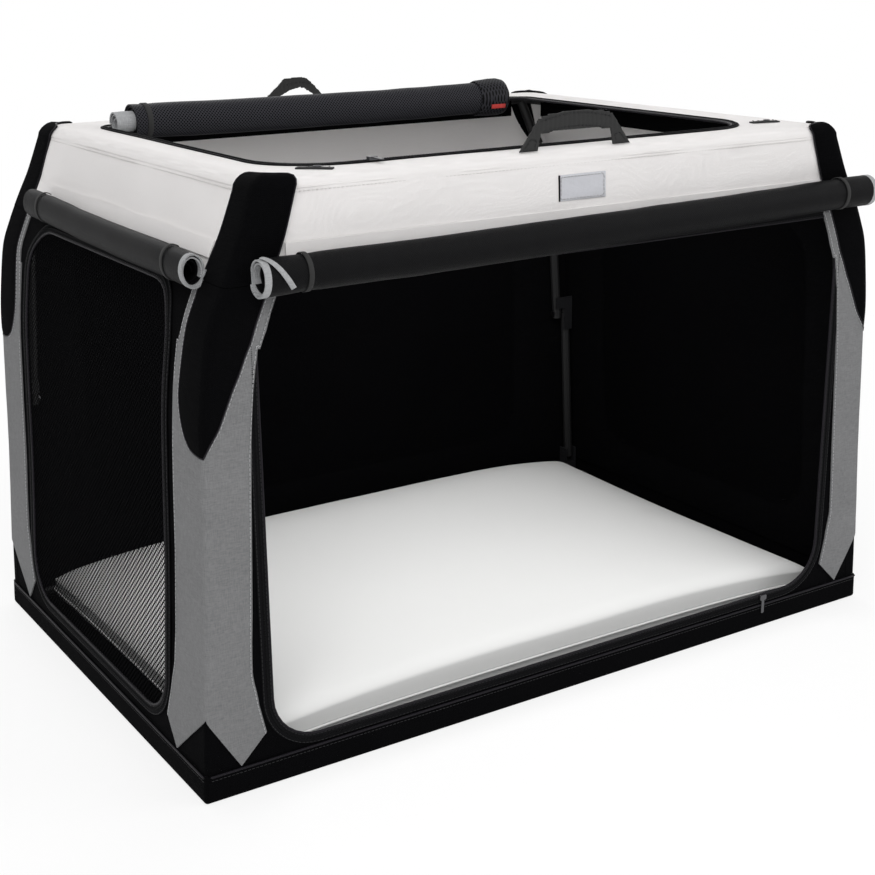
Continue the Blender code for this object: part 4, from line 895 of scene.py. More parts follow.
def net_tree():
    """A flat net of diamonds: a turned grid cut to a rounded rectangle, each cell with a hole."""
    tree, given, end = geometry_tree(
        "net",
        (
            ("Width", FLOAT, 0.5), ("Height", FLOAT, 0.5),
            ("Corner", FLOAT, 0.05), ("Pitch", FLOAT, 0.005),
            ("Hole", FLOAT, 0.6), ("Material", STUFF, None),
        ),
    )
    side = times(tree, maths(tree, "ADD", given["Width"], given["Height"]), math.sqrt(0.5))
    count = maths(tree, "ADD", maths(tree, "CEIL", maths(tree, "DIVIDE", side, given["Pitch"])), 1.0)
    span = times(tree, maths(tree, "SUBTRACT", count, 1.0), given["Pitch"])
    cells = {"Size X": span, "Size Y": span, "Vertices X": count, "Vertices Y": count}
    grid = result(tree, "GeometryNodeMeshGrid", cells)
    slant = {"Geometry": grid, "Rotation": (0.0, 0.0, math.pi / 4)}
    turned = result(tree, "GeometryNodeTransform", slant)
    place = result(tree, "GeometryNodeInputPosition")
    corner = times(tree, given["Corner"], -1.0)
    straight = [times_plus(tree, given[key], 0.5, corner) for key in ("Width", "Height")]
    half = result(tree, "ShaderNodeCombineXYZ", {"X": straight[0], "Y": straight[1]})
    past = vector_maths(tree, "SUBTRACT", vector_maths(tree, "ABSOLUTE", place), half)
    past = vector_maths(tree, "MAXIMUM", past, (0.0, 0.0, 0.0))
    reach = node(tree, "ShaderNodeVectorMath", {0: past}, operation="LENGTH").outputs["Value"]
    beyond = {0: reach, 1: given["Corner"]}
    outside = result(tree, "FunctionNodeCompare", beyond, operation="GREATER_THAN")
    outer_cells = {"Geometry": turned, "Selection": outside}
    kept = result(tree, "GeometryNodeDeleteGeometry", outer_cells, domain="FACE")
    insets = {"Mesh": kept, "Offset Scale": 0.0, "Individual": True}
    raised = node(tree, "GeometryNodeExtrudeMesh", insets, mode="FACES").outputs
    shrunk = {"Geometry": raised["Mesh"], "Selection": raised["Top"], "Scale": given["Hole"]}
    holes = {"Geometry": result(tree, "GeometryNodeScaleElements", shrunk), "Selection": raised["Top"]}
    close_tree(tree, given, end, result(tree, "GeometryNodeDeleteGeometry", holes, domain="FACE"))
    return tree


TREES = {
    "stitches": lambda: along_path_tree("stitches", "stitch"),
    "zip_coil": lambda: along_path_tree("zip_coil", "turn"),
    "net": net_tree,
}


def grown(name, source, tree_name, values):
    """The plain mesh that a tree makes from a curve or mesh, in bmesh form."""
    tree = bpy.data.node_groups.get(tree_name) or TREES[tree_name]()
    carrier = add_object(name, source)
    grow = carrier.modifiers.new("nodes", "NODES")
    grow.node_group = tree
    for item in tree.interface.items_tree:
        if item.item_type == "SOCKET" and item.in_out == "INPUT" and item.name in values:
            grow[item.identifier] = values[item.name]
    mesh = evaluated_mesh(carrier)
    carrier.modifiers.remove(grow)
    bpy.data.objects.remove(carrier, do_unlink=True)
    return mesh


def path_curve(paths):
    """A curve object's data with one polyline for each path: (points, closed)."""
    curve = bpy.data.curves.new("paths", "CURVE")
    curve.dimensions = "3D"
    for points, closed in paths:
        spline = curve.splines.new("POLY")
        spline.points.add(len(points) - 1)
        for knot, point in zip(spline.points, points):
            knot.co = (*point, 1.0)
        spline.use_cyclic_u = closed
    return curve


STITCH_RADIUS = 0.00045
TURN_RADIUS = 0.0016
TURN_SHARE = 0.42


def repeated(name, tree_name, paths, material, pitch, length, width):
    """One mesh object of stitches or zip turns along some paths."""
    values = {"Pitch": pitch, "Length": length, "Width": width, "Material": finish(material)}
    mesh = grown(name + "_paths", path_curve(paths), tree_name, values)
    mesh.shade_smooth()
    mesh.name = name
    return add_object(name, mesh)


def stitching(name, paths, material):
    pitch, length = sizes().stitch_pitch, sizes().stitch_length
    return repeated(name, "stitches", paths, material, pitch, length, STITCH_RADIUS)


def zip_turns(name, path):
    pitch = sizes().tooth_pitch
    return repeated(name, "zip_coil", [(path, True)], "zip_coil", pitch, pitch * TURN_SHARE, TURN_RADIUS)


# Tray and roof cover: box shells that follow the envelope

TRAY_ROUND = 0.005
PIPING_RADIUS = 0.0016
WELT_RADIUS = 0.0005
# Size and share of the creases in the tray and in the cover
TRAY_CREASE = (0.07, 0.7)
COVER_CREASE = (0.085, 1.0)
STITCH_LIFT = 0.0002
HEM_RISE = 0.0012
HEM_DEPTH = 0.0009
HEM_ROUND = 0.006
HEM_ROW = 0.008
WELT_DROP = 0.0015
WELT_ROW = 0.004


def box_shell(half_x, half_y, closed_at, open_at, radius, cell):
    """Five faces of a box, open at one level, with rounded edges and corners."""
    low, high = sorted((closed_at, open_at))
    bm = bmesh.new()
    bmesh.ops.create_cube(bm, size=2.0)
    for vert in bm.verts:
        vert.co = (vert.co.x * half_x, vert.co.y * half_y, low if vert.co.z < 0 else high)
    open_faces = [face for face in bm.faces if abs(face.calc_center_median().z - open_at) < SNAP]
    bmesh.ops.delete(bm, geom=open_faces, context="FACES")
    near_edge = [radius * share for share in (0.25, 0.5, 0.75, 1.0)]
    side = 1 if closed_at > open_at else -1
    for axis, half in enumerate((half_x, half_y)):
        places = even_steps(radius - half, half - radius, cell)
        for place in places + [sign * (half - a) for a in near_edge for sign in (-1, 1)]:
            cut_across(bm, axis, place)
    for place in even_steps(low, high, cell)[1:-1] + [closed_at - side * a for a in near_edge]:
        cut_across(bm, 2, place)
    for vert in bm.verts:
        x, y, z = vert.co
        inner = Vector((
            min(max(x, radius - half_x), half_x - radius),
            min(max(y, radius - half_y), half_y - radius),
            side * min(side * z, side * closed_at - radius),
        ))
        away = vert.co - inner
        if away.length > SNAP:
            vert.co = inner + away.normalized() * radius
    return bm


def lean(bm, half_x, half_y, depth):
    """Carries an upright box's sides onto the leaning envelope."""
    for vert in bm.verts:
        x, y, z = vert.co
        vert.co.x = x * (half_length(z) - depth) / half_x
        vert.co.y = y * (half_width(z) - depth) / half_y


def crease_along_normals(bm, size, height, where=None):
    """Pushes points along their normals by soft random creases."""
    bm.normal_update()
    moves = []
    for vert in bm.verts:
        x, y, z = vert.co
        weight = where(vert.co) if where else 1.0
        moves.append(vert.normal * ripple((x, y, 1.8 * z), size, height * weight))
    for vert, move in zip(bm.verts, moves):
        vert.co += move


def ring_at(z, depth, corner, step=0.012):
    """A level ring round the crate on the envelope, with the outward direction at each point."""
    half_x, half_y = half_length(z) - depth, half_width(z) - depth
    outline = rounded_rectangle(-half_x, -half_y, half_x, half_y, [corner] * 4)
    path = level_path(outline, z, step)
    outs = []
    for i, point in enumerate(path):
        run = path[(i + 1) % len(path)] - path[i - 1]
        out = run.cross(UP).normalized()
        outs.append(out if out.dot(point) > 0 else -out)
    return path, outs


def make_base_tray():
    half_x, half_y = FLOOR_HALF_LENGTH, FLOOR_HALF_WIDTH
    bm = box_shell(half_x, half_y, TRAY_LOW.z, BAND_TOP, TRAY_ROUND, sizes().cell)
    lean(bm, half_x, half_y, 0.0)
    size, share = TRAY_CREASE
    crease_along_normals(bm, size, sizes().crease * share, lambda co: 1.0 if co.z > 2 * TRAY_ROUND else 0.0)
    tray = cloth_piece("tray_cloth", bm, "black_cloth", CLOTH, (0.0, 0.0, 1.0))
    settle(tray, "base", BLACK, "base_tray")

    path, outs = ring_at(BAND_TOP - PIPING_RADIUS, 0.0, TRAY_ROUND)
    cord = swept("tray_piping", path, outs, round_section(PIPING_RADIUS), "piping", True)
    settle(cord, "base", BLACK)
    path, _ = ring_at(BAND_TOP - 4 * PIPING_RADIUS, -STITCH_LIFT, TRAY_ROUND)
    settle(stitching("tray_stitches", [(path, True)], "dark_thread"), "base", BLACK)


def roof_opening(grow=0.0):
    x0, y0, x1, y1 = ROOF_OPENING
    return rounded_rectangle(
        x0 - grow, y0 - grow, x1 + grow, y1 + grow, [corner + grow for corner in ROOF_OPENING_CORNERS]
    )


def make_roof_cover():
    """One continuous white sheet over the top frame, drawn in a little along its sides."""
    half_x, half_y = ROOF_HALF_LENGTH - WALL_DEPTH, ROOF_HALF_WIDTH - WALL_DEPTH
    bm = box_shell(half_x, half_y, ROOF, SKIRT + GAP, sizes().roof_round, sizes().cell)
    lean(bm, half_x, half_y, WALL_DEPTH)
    trim(bm, roof_opening(), inside=False, where=lambda face: face.calc_center_median().z > ROOF - SNAP)

    def fullness(co):
        """Nothing at the hem and the roof's flat ring, most on the middle of the sloping sides."""
        share = (co.z - SKIRT) / (ROOF - SKIRT)
        return math.sin(math.pi * min(max(share, 0.0), 1.0)) ** 0.6 * 2.0 + 0.35

    crease_along_normals(bm, COVER_CREASE[0], sizes().crease * COVER_CREASE[1], fullness)
    cover = cloth_piece("roof_cover_cloth", bm, "white_cloth", CLOTH, (0.0, 0.0, SKIRT))
    settle(cover, "top", "white_fabric", "roof_cover")

    path, outs = ring_at(SKIRT + HEM_RISE, HEM_DEPTH, HEM_ROUND)
    cord = swept("skirt_piping", path, outs, round_section(PIPING_RADIUS), "piping", True)
    settle(cord, "top", BLACK)
    welt = ROOF - sizes().roof_round - WELT_DROP
    path, outs = ring_at(welt, WALL_DEPTH, sizes().roof_round)
    fold = swept("cover_welt", path, outs, round_section(WELT_RADIUS, 6), "white_cloth", True)
    settle(fold, "top", "white_fabric")
    heights = (SKIRT + HEM_ROW, welt - WELT_ROW)
    rows = [(ring_at(z, WALL_DEPTH - STITCH_LIFT, 0.008)[0], True) for z in heights]
    settle(stitching("cover_stitches", rows, "white_thread"), "top", "white_fabric")


CHANNEL_HEIGHT = 0.033
CHANNEL_SIDE = 0.3170
CHANNEL_END = 0.4030
CHANNEL_REACH = 0.012
CHANNEL_CORNER = 0.035


def make_channel_and_painted_shade():
    """The black cloth under the roof that the top frame's tube is slipped through; its black band also
    stands in for the shade under the roof's edge, as painted shade.
    """
    top = ROOF - WALL_DEPTH - 2 * GAP
    low = top - CHANNEL_HEIGHT
    height, out = top - low, -CHANNEL_REACH
    section = [(0.0, 0.0), (0.0, height), (-CLOTH, height), (-CLOTH, CLOTH), (out, CLOTH), (out, 0.0)]
    side, end = CHANNEL_SIDE, CHANNEL_END
    long_run, short_run = end - CHANNEL_CORNER, side - CHANNEL_CORNER
    runs = (
        ((-long_run, side), (long_run, side)), ((long_run, -side), (-long_run, -side)),
        ((end, short_run), (end, -short_run)), ((-end, -short_run), (-end, short_run)),
    )
    bm = bmesh.new()
    for first, last in runs:
        sweep(bm, evenly([(*first, low), (*last, low)], 0.012), section, UP)
    settle(piece("roof_tube_channel", bm, "black_cloth"), "top", BLACK)


LINING_HALF = 0.043
LINING_LOW = SKIRT + 0.022
LINING_HIGH = ROOF - 0.012
LINING_HOLLOW_SHARE = 0.45
LINING_INSET = 0.004
LINING_CLOTH = 0.0006


def make_corner_linings():
    """The black patches inside the roof cover's corners, curved along their free edge."""
    outline = [(0.0, LINING_LOW), (0.0, LINING_HIGH)]
    for step in range(9):
        share = step / 8
        across = LINING_HALF * (1.0 - LINING_HOLLOW_SHARE * share ** 2)
        outline.append((across, LINING_HIGH + (LINING_LOW - LINING_HIGH) * share))
    for name, end, side in CORNERS:
        bm = lattice(even_steps(0.0, LINING_HALF, 0.006), even_steps(LINING_LOW, LINING_HIGH, 0.008))
        trim(bm, outline)

        def place(along, up):
            reach = half_length(up) - WALL_DEPTH - CLOTH - LINING_INSET - along
            return Vector((end * reach, side * (half_width(up) - WALL_DEPTH - CLOTH - GAP), up))

        made = cloth_piece(f"{name}_corner_lining", carry(bm, place), "black_cloth", LINING_CLOTH)
        settle(made, "top", BLACK)


# Walls and nets

WALL_END_STEP = 0.0055
BINDING_GROW = 0.0065
BINDING_WIDTH = 0.013
BINDING_THICKNESS = 0.0010
BINDING_ROWS = (0.002, 0.0115)
LEFT_TAPE_DEPTH = 0.0009


def hole_outline(face, grow=0.0):
    half, low, high, corners = WALL_SPECS[face]
    return rounded_rectangle(-half - grow, low - grow, half + grow, high + grow, [r + grow for r in corners])


def make_wall(face):
    hole_half = WALL_SPECS[face][0]
    low, high = BAND_TOP + GAP, SKIRT - GAP
    long_wall = face in ("front", "back")
    half = (half_length(low) if long_wall else FLOOR_HALF_WIDTH) - WALL_END_STEP
    cell = sizes().cell
    bm = lattice(even_steps(-half, half, cell), even_steps(low, high, cell))
    trim(bm, hole_outline(face), inside=False)
    crease = sizes().crease

    def place(along, up):
        if long_wall and abs(along) > hole_half:
            share = (abs(along) - hole_half) / (half - hole_half)
            reach = half_length(up) - WALL_END_STEP
            along = math.copysign(hole_half + share * (reach - hole_half), along)
        rise = ripple((along, 1.5 * up, len(face)), 0.09, crease)
        return on_wall(face, along, up, WALL_DEPTH + max(rise, -GAP))

    wall = cloth_piece(f"{face}_wall_cloth", carry(bm, place), "black_cloth", CLOTH)
    settle(wall, "base", BLACK, f"{face}_wall", folds=True)


def make_window_cover(face):
    """The cloth that is zipped over a window's net: flat at its zip and a little slack between."""
    half, low, high, _ = WALL_SPECS[face]
    cell = sizes().cell
    bm = lattice(even_steps(GAP - half, half - GAP, cell), even_steps(low + GAP, high - GAP, cell))
    trim(bm, hole_outline(face, -GAP))

    def place(along, up):
        slack = (1.0 - (along / half) ** 4) * (1.0 - (2 * (up - low) / (high - low) - 1.0) ** 4)
        rise = ripple((along, 1.5 * up, 5.0), 0.11, 2 * sizes().crease * slack)
        return on_wall(face, along, up, WALL_DEPTH - 0.0002 - max(rise, 0.0))

    cover = cloth_piece(f"{face}_window_cloth", carry(bm, place), "black_cloth", CLOTH)
    settle(cover, "base", BLACK, f"{face}_window_cover", folds=True)


def make_binding(face, body, lift):
    """Tape, piping, stitches and a zip's coil round a wall's hole."""
    path, outs = wall_path(face, hole_outline(face, BINDING_GROW), lift)
    section = tape_section(BINDING_WIDTH, BINDING_THICKNESS)
    tape = swept(f"{face}_hole_tape", path, outs, section, "zip_tape", True)
    settle(tape, body, BLACK, folds=True)
    path, outs = wall_path(face, hole_outline(face), lift)
    cord = swept(f"{face}_hole_piping", path, outs, round_section(PIPING_RADIUS), "piping", True)
    settle(cord, body, BLACK, folds=True)
    proud = lift - BINDING_THICKNESS
    rows = [(wall_path(face, hole_outline(face, grow), proud - 0.0001)[0], True) for grow in BINDING_ROWS]
    settle(stitching(f"{face}_hole_stitches", rows, "dark_thread"), body, BLACK, folds=True)
    path = wall_path(face, hole_outline(face, BINDING_GROW), proud + 0.0001)[0]
    settle(zip_turns(f"{face}_zip_coil", path), "base", BLACK, folds=True)


def make_net(face, node_name, body, depth):
    half, low, high, corners = WALL_SPECS[face]
    given = sizes()
    values = {
        "Width": 2 * (half + NET_LAP), "Height": high - low + 2 * NET_LAP, "Corner": corners[0] + NET_LAP,
        "Pitch": given.net_pitch, "Hole": given.net_hole_share, "Material": finish("net_cord"),
    }
    mesh = grown("net_source", bpy.data.meshes.new("net_source"), "net", values)
    bm = bmesh.new()
    bm.from_mesh(mesh)
    middle = (low + high) / 2
    carry(bm, lambda x, y: on_wall(face, x, middle + y, depth))
    net = piece(node_name + "_strands", bm, "net_cord", smooth=False)
    settle(net, body, "black_mesh", node_name, folds=True)


# Corners: grey sleeves with a V cut, black pad tips in the cuts, black pads above

SLEEVE_BOTTOM = BAND_TOP + 0.0015
SLEEVE_HEEL = SLEEVE_BOTTOM + 0.070
PAD_TIP = SKIRT - 0.184
V_FRONT = (
    (0.17, 0.09), (0.33, 0.16), (0.48, 0.27), (0.62, 0.39), (0.73, 0.47), (0.85, 0.58),
    (0.96, 0.68), (1.0, 0.80), (1.0, 1.0),
)
V_SIDE = (
    (0.42, 0.010), (0.66, 0.055), (0.83, 0.13), (0.95, 0.23), (1.0, 0.33), (0.98, 0.47),
    (0.93, 0.66), (0.91, 0.80), (0.91, 1.0),
)
STRIP_SHARES = ((0.0, 0.48), (0.5, 0.62), (1.0, 0.74), (1.0, 1.0))
# Width, width at the skirt, flare at the toe, the foot's point, the cut's shares and the pad's width
FRONT_STRIP = (0.058, 0.066, 0.0205, 0.046, V_FRONT, 0.052)
SIDE_STRIP = (0.083, 0.074, 0.025, 0.081, V_SIDE, 0.066)
TOE_RISE = 0.034
FLARE_RISE = 0.1525
PAD_FRONT_TOP = 0.046
PAD_SIDE_TOP = 0.050
PAD_LAP = 0.013
PAD_CELL = 0.006
PUFF_RUN = 0.011
TRIM_CLOTH = TRIM_DEPTH * 0.9
CORNER_PIPING_RADIUS = 0.0010
CORNER_BINDING_REACH = 0.020
CORNER_BINDING_CLOTH = 0.0003
STITCH_INSET = 0.0022
STITCH_PROUD = 0.0004


def smooth_line(points, steps=3):
    """A Catmull-Rom curve through points."""
    made = []
    last = len(points) - 1
    for i in range(last):
        p0, p1, p2, p3 = (Vector(points[min(max(k, 0), last)]) for k in (i - 1, i, i + 1, i + 2))
        for step in range(steps):
            t = step / steps
            made.append(
                0.5 * (2 * p1 + (p2 - p0) * t + (2 * p0 - 5 * p1 + 4 * p2 - p3) * t ** 2
                       + (3 * p1 - p0 - 3 * p2 + p3) * t ** 3)
            )
    made.append(Vector(points[last]))
    return [tuple(point) for point in made]


def v_edge(shares, width, gap=0.0):
    """One edge of the V cut from its tip to the skirt."""
    rise = SKIRT - GAP - PAD_TIP
    return smooth_line([(0.0, PAD_TIP + gap)] + [(width * x - gap, PAD_TIP + rise * y) for x, y in shares])


def strip_foot_and_edge(strip):
    """One strip from the heel at the corner, round its arrow foot and up its inner edge."""
    width, top_width, flare, arrow, _, _ = strip
    toe, flare_top = SLEEVE_BOTTOM + TOE_RISE, SLEEVE_BOTTOM + FLARE_RISE
    rise = SKIRT - GAP - PAD_TIP
    edge = [(width + flare, toe), (width + flare * 0.33, toe + (flare_top - toe) * 0.47), (width, flare_top)]
    edge += [(width + (top_width - width) * x, PAD_TIP + rise * y) for x, y in STRIP_SHARES]
    return [(0.0, SLEEVE_HEEL), (arrow, SLEEVE_BOTTOM)] + smooth_line(edge)


def sleeve_outline():
    """The whole sleeve laid flat: positive across on the front face, negative on the end face."""
    outline = []
    for sign, strip in ((1, FRONT_STRIP), (-1, SIDE_STRIP)):
        half = strip_foot_and_edge(strip) + v_edge(strip[4], strip[5])[::-1]
        half = [(sign * x, z) for x, z in half]
        outline += half if sign > 0 else half[::-1]
    return [
        point for point, after in zip(outline, outline[1:] + outline[:1])
        if (Vector(point) - Vector(after)).length > SNAP
    ]


def around_corner(across, z, end, side, proud=0.0):
    """A point of a corner piece laid flat, folded round the rounded corner edge."""
    radius = sizes().corner_round
    flat = Vector((max(across, 0.0), max(-across, 0.0)))
    inner = Vector((max(flat.x, radius), max(flat.y, radius)))
    away = (flat - inner).normalized()
    spot = inner + away * (radius + proud)
    return Vector((end * (half_length(z) - spot.x), side * (half_width(z) - spot.y), z))


def make_sleeve(name, end, side):
    near = [sign * sizes().corner_round * share for share in (0.33, 0.66, 1.0) for sign in (-1, 1)]
    bm = cut_lattice(sleeve_outline(), sizes().cell * 0.7, near + [0.0])

    def place(across, z):
        soft = ripple((across, z, 3.0 * end + side), 0.05, 0.0005)
        return around_corner(across, z, end, side, soft)

    sleeve = cloth_piece(f"{name}_sleeve_cloth", carry(bm, place), "heather_cloth", TRIM_CLOTH)
    settle(sleeve, "base", "grey_fabric", f"{name}_corner_sleeve", folds=True)


def make_corner_binding(name, end, side):
    """The black cloth that lies round a corner under its sleeve."""
    reach = CORNER_BINDING_REACH
    bm = lattice(even_steps(-reach, reach, 0.005), even_steps(BAND_TOP + GAP, SKIRT - GAP, sizes().cell))

    def place(across, z):
        return around_corner(across, z, end, side, -TRIM_DEPTH * 0.92)

    made = cloth_piece(f"{name}_corner_binding", carry(bm, place), "black_cloth", CORNER_BINDING_CLOTH)
    settle(made, "base", BLACK, folds=True)


def puffed(distance, height):
    """The height of a padded cloth some way in from its sewn edge."""
    return height * (1.0 - math.exp(-distance / PUFF_RUN))


def tip_edge():
    """The two sewn edges of a pad's tip laid flat, each from the tip up to the skirt."""
    right = v_edge(V_FRONT, FRONT_STRIP[5], GAP)
    left = [(-x, z) for x, z in v_edge(V_SIDE, SIDE_STRIP[5], GAP)]
    return right, left


def make_pad_tip(name, end, side):
    """The lower point of a corner pad, lying in the sleeve's V cut."""
    right, left = tip_edge()
    free = right[::-1] + left
    bm = cut_lattice(right + left[:0:-1], 0.007)

    def place(across, z):
        near = min(
            segment_distance((across, z, 0.0), (*a, 0.0), (*b, 0.0)) for a, b in zip(free, free[1:])
        )
        return around_corner(across, z, end, side, puffed(near, sizes().pad_puff))

    tip = cloth_piece(f"{name}_pad_tip", carry(bm, place), "black_cloth", TRIM_CLOTH)
    settle(tip, "base", BLACK, folds=True)
    return [around_corner(x, z, end, side, 0.0003) for x, z in free]


def segment_distance(point, a, b):
    point, a, b = Vector(point), Vector(a), Vector(b)
    run = b - a
    if run.length_squared == 0:
        return (point - a).length
    t = min(max((point - a).dot(run) / run.length_squared, 0.0), 1.0)
    return (point - a - run * t).length


def pad_free_edge():
    """The sewn edge of a pad as (in from the end face, in from the long face, down from the top)."""
    low = PAD_TOP - SKIRT - GAP
    lap = PAD_LAP
    front = (FRONT_STRIP[5] * V_FRONT[-1][0] - GAP, 0.0, low)
    side = (0.0, SIDE_STRIP[5] * V_SIDE[-1][0] - GAP, low)
    third = lap / 3
    roof = [
        (PAD_FRONT_TOP, 0.0, 0.0), (PAD_FRONT_TOP - third, 2 * third, 0.0), (2 * lap, lap, 0.0),
        (lap, 2 * lap, 0.0), (2 * third, PAD_SIDE_TOP - third, 0.0), (0.0, PAD_SIDE_TOP, 0.0),
    ]
    return [front] + roof + [side]


def pad_place(spot, end, side, proud=0.0):
    """Rounds a pad's point over the corner's edges and carries it onto the envelope."""
    u, v, w = spot
    top_round, low_round = sizes().roof_round + WALL_DEPTH, sizes().corner_round
    share = min(max(w / (PAD_TOP - SKIRT), 0.0), 1.0)
    radius = top_round + (low_round - top_round) * share
    inner = Vector((max(u, radius), max(v, radius), max(w, top_round)))
    away = Vector(spot) - inner
    flat_radius = radius if w >= top_round else top_round
    spot = inner + away.normalized() * (flat_radius + proud) if away.length > SNAP else Vector(spot)
    z = PAD_TOP - spot.z
    return Vector((end * (half_length(z) - spot.x), side * (half_width(z) - spot.y), z))


def make_pad(name, end, side):
    """Three flat faces that meet at the roof's corner, sewn into one puffed pad."""
    free = pad_free_edge()
    low = free[0][2]
    front = [(0.0, 0.0), (free[1][0], 0.0), (free[0][0], low), (0.0, low)]
    flank = [(0.0, 0.0), (free[-2][1], 0.0), (free[-1][1], low), (0.0, low)]
    roof = [(0.0, 0.0)] + [(u, v) for u, v, _ in free[1:-1]]
    bm = bmesh.new()
    for outline, standing in (
        (front, lambda a, b: Vector((a, 0.0, b))), (flank, lambda a, b: Vector((0.0, a, b))),
        (roof, lambda a, b: Vector((a, b, 0.0))),
    ):
        panel = carry(cut_lattice(outline, PAD_CELL), standing)
        mesh = bpy.data.meshes.new("panel")
        panel.to_mesh(mesh)
        panel.free()
        bm.from_mesh(mesh)
        bpy.data.meshes.remove(mesh)
    bmesh.ops.remove_doubles(bm, verts=bm.verts, dist=0.0004)
    for vert in bm.verts:
        near = min(segment_distance(vert.co, a, b) for a, b in zip(free, free[1:]))
        vert.co = pad_place(vert.co, end, side, puffed(near, sizes().pad_puff))
    pad = cloth_piece(f"{name}_pad_cloth", bm, "black_cloth", TRIM_CLOTH, (end * 0.3, side * 0.2, 0.5))
    settle(pad, "top", BLACK, f"{name}_corner_pad")
    return [pad_place(spot, end, side, 0.0003) for spot in evenly(free, 0.005)]


def make_corners():
    middle = Vector((0.0, 0.0, 0.3))
    cord = round_section(CORNER_PIPING_RADIUS, 6)
    pipings = (bmesh.new(), bmesh.new())
    rows = []
    for name, end, side in CORNERS:
        make_sleeve(name, end, side)
        make_corner_binding(name, end, side)
        for piping, maker in zip(pipings, (make_pad_tip, make_pad)):
            path = evenly(maker(name, end, side), 0.006)
            sweep(piping, path, cord, [(point - middle).normalized() for point in path])
        for sign, strip in ((1, FRONT_STRIP), (-1, SIDE_STRIP)):
            lines = (
                [(x - STITCH_INSET, z) for x, z in strip_foot_and_edge(strip)[2:]],
                [(x + STITCH_INSET, z) for x, z in v_edge(strip[4], strip[5])[2:]],
            )
            for line in lines:
                row = [around_corner(sign * x, z, end, side, STITCH_PROUD) for x, z in line]
                rows.append((row, False))
    settle(piece("pad_tip_piping", pipings[0], "piping"), "base", BLACK, folds=True)
    settle(piece("pad_piping", pipings[1], "piping"), "top", BLACK)
    settle(stitching("sleeve_stitches", rows, "pale_thread"), "base", "grey_fabric", folds=True)


# Rolled covers

WIND_POWER = 1.25
SUNK = 0.0035
LOOP_WIDTH = 0.006
LOOP_THICKNESS = 0.0011
LOOP_INSET = 0.055
PINCH_RUN = 0.013
SEAM = SKIRT + 0.040
TURN_STEPS = 24
TAPE_REACH = 0.007
END_TAPE_EXTRA = 0.0005
TAPED_TURNS = 2.1
# The holds pinch a roll by this share, and it wanders this far along its length
PINCH_SHARE = 0.04
WOBBLE = 0.03
DOOR_TURNS = 4
# Each door roll's node, axis, middle from its box's outer side, height, radii, sheet and eye, its
# slopes level and up, its loops' names and angles, the drop of its seam's cloth and its taped ends
DOOR_ROLLS = {
    "front": (
        "front_door_roll", "x", 0.0205, 0.6168, (0.0203, 0.0216), (0.0014, 0.0075), (0.0, 0.0137),
        (("left", "right"), (40, 320)), 0.022, (True, True),
    ),
    "left": (
        "left_cover_roll", "y", 0.0175, 0.6148, (0.0150, 0.0203), (0.0013, 0.0058), (0.005895, 0.0131),
        (("front", "back"), (60, 300)), 0.018, (True, False),
    ),
}
PAD_CLEARANCE = 0.002
# The front roll's loose tape: how far in it starts, its run, width and thickness, and its angles
LOOSE_TAPE = (0.004, 0.030, 0.0062, 0.0010, (96, 214))
ROOF_CORE = (-0.369, -0.340)
ROOF_CORE_RADIUS = 0.0152
WRAP_SHORTER = 0.009
PULL_IN = 0.034
PULL_LENGTH = 0.026
RIM_WIDTH = 0.010
RIM_THICKNESS = 0.0015
RIM_TOP = ROOF + GAP + RIM_THICKNESS


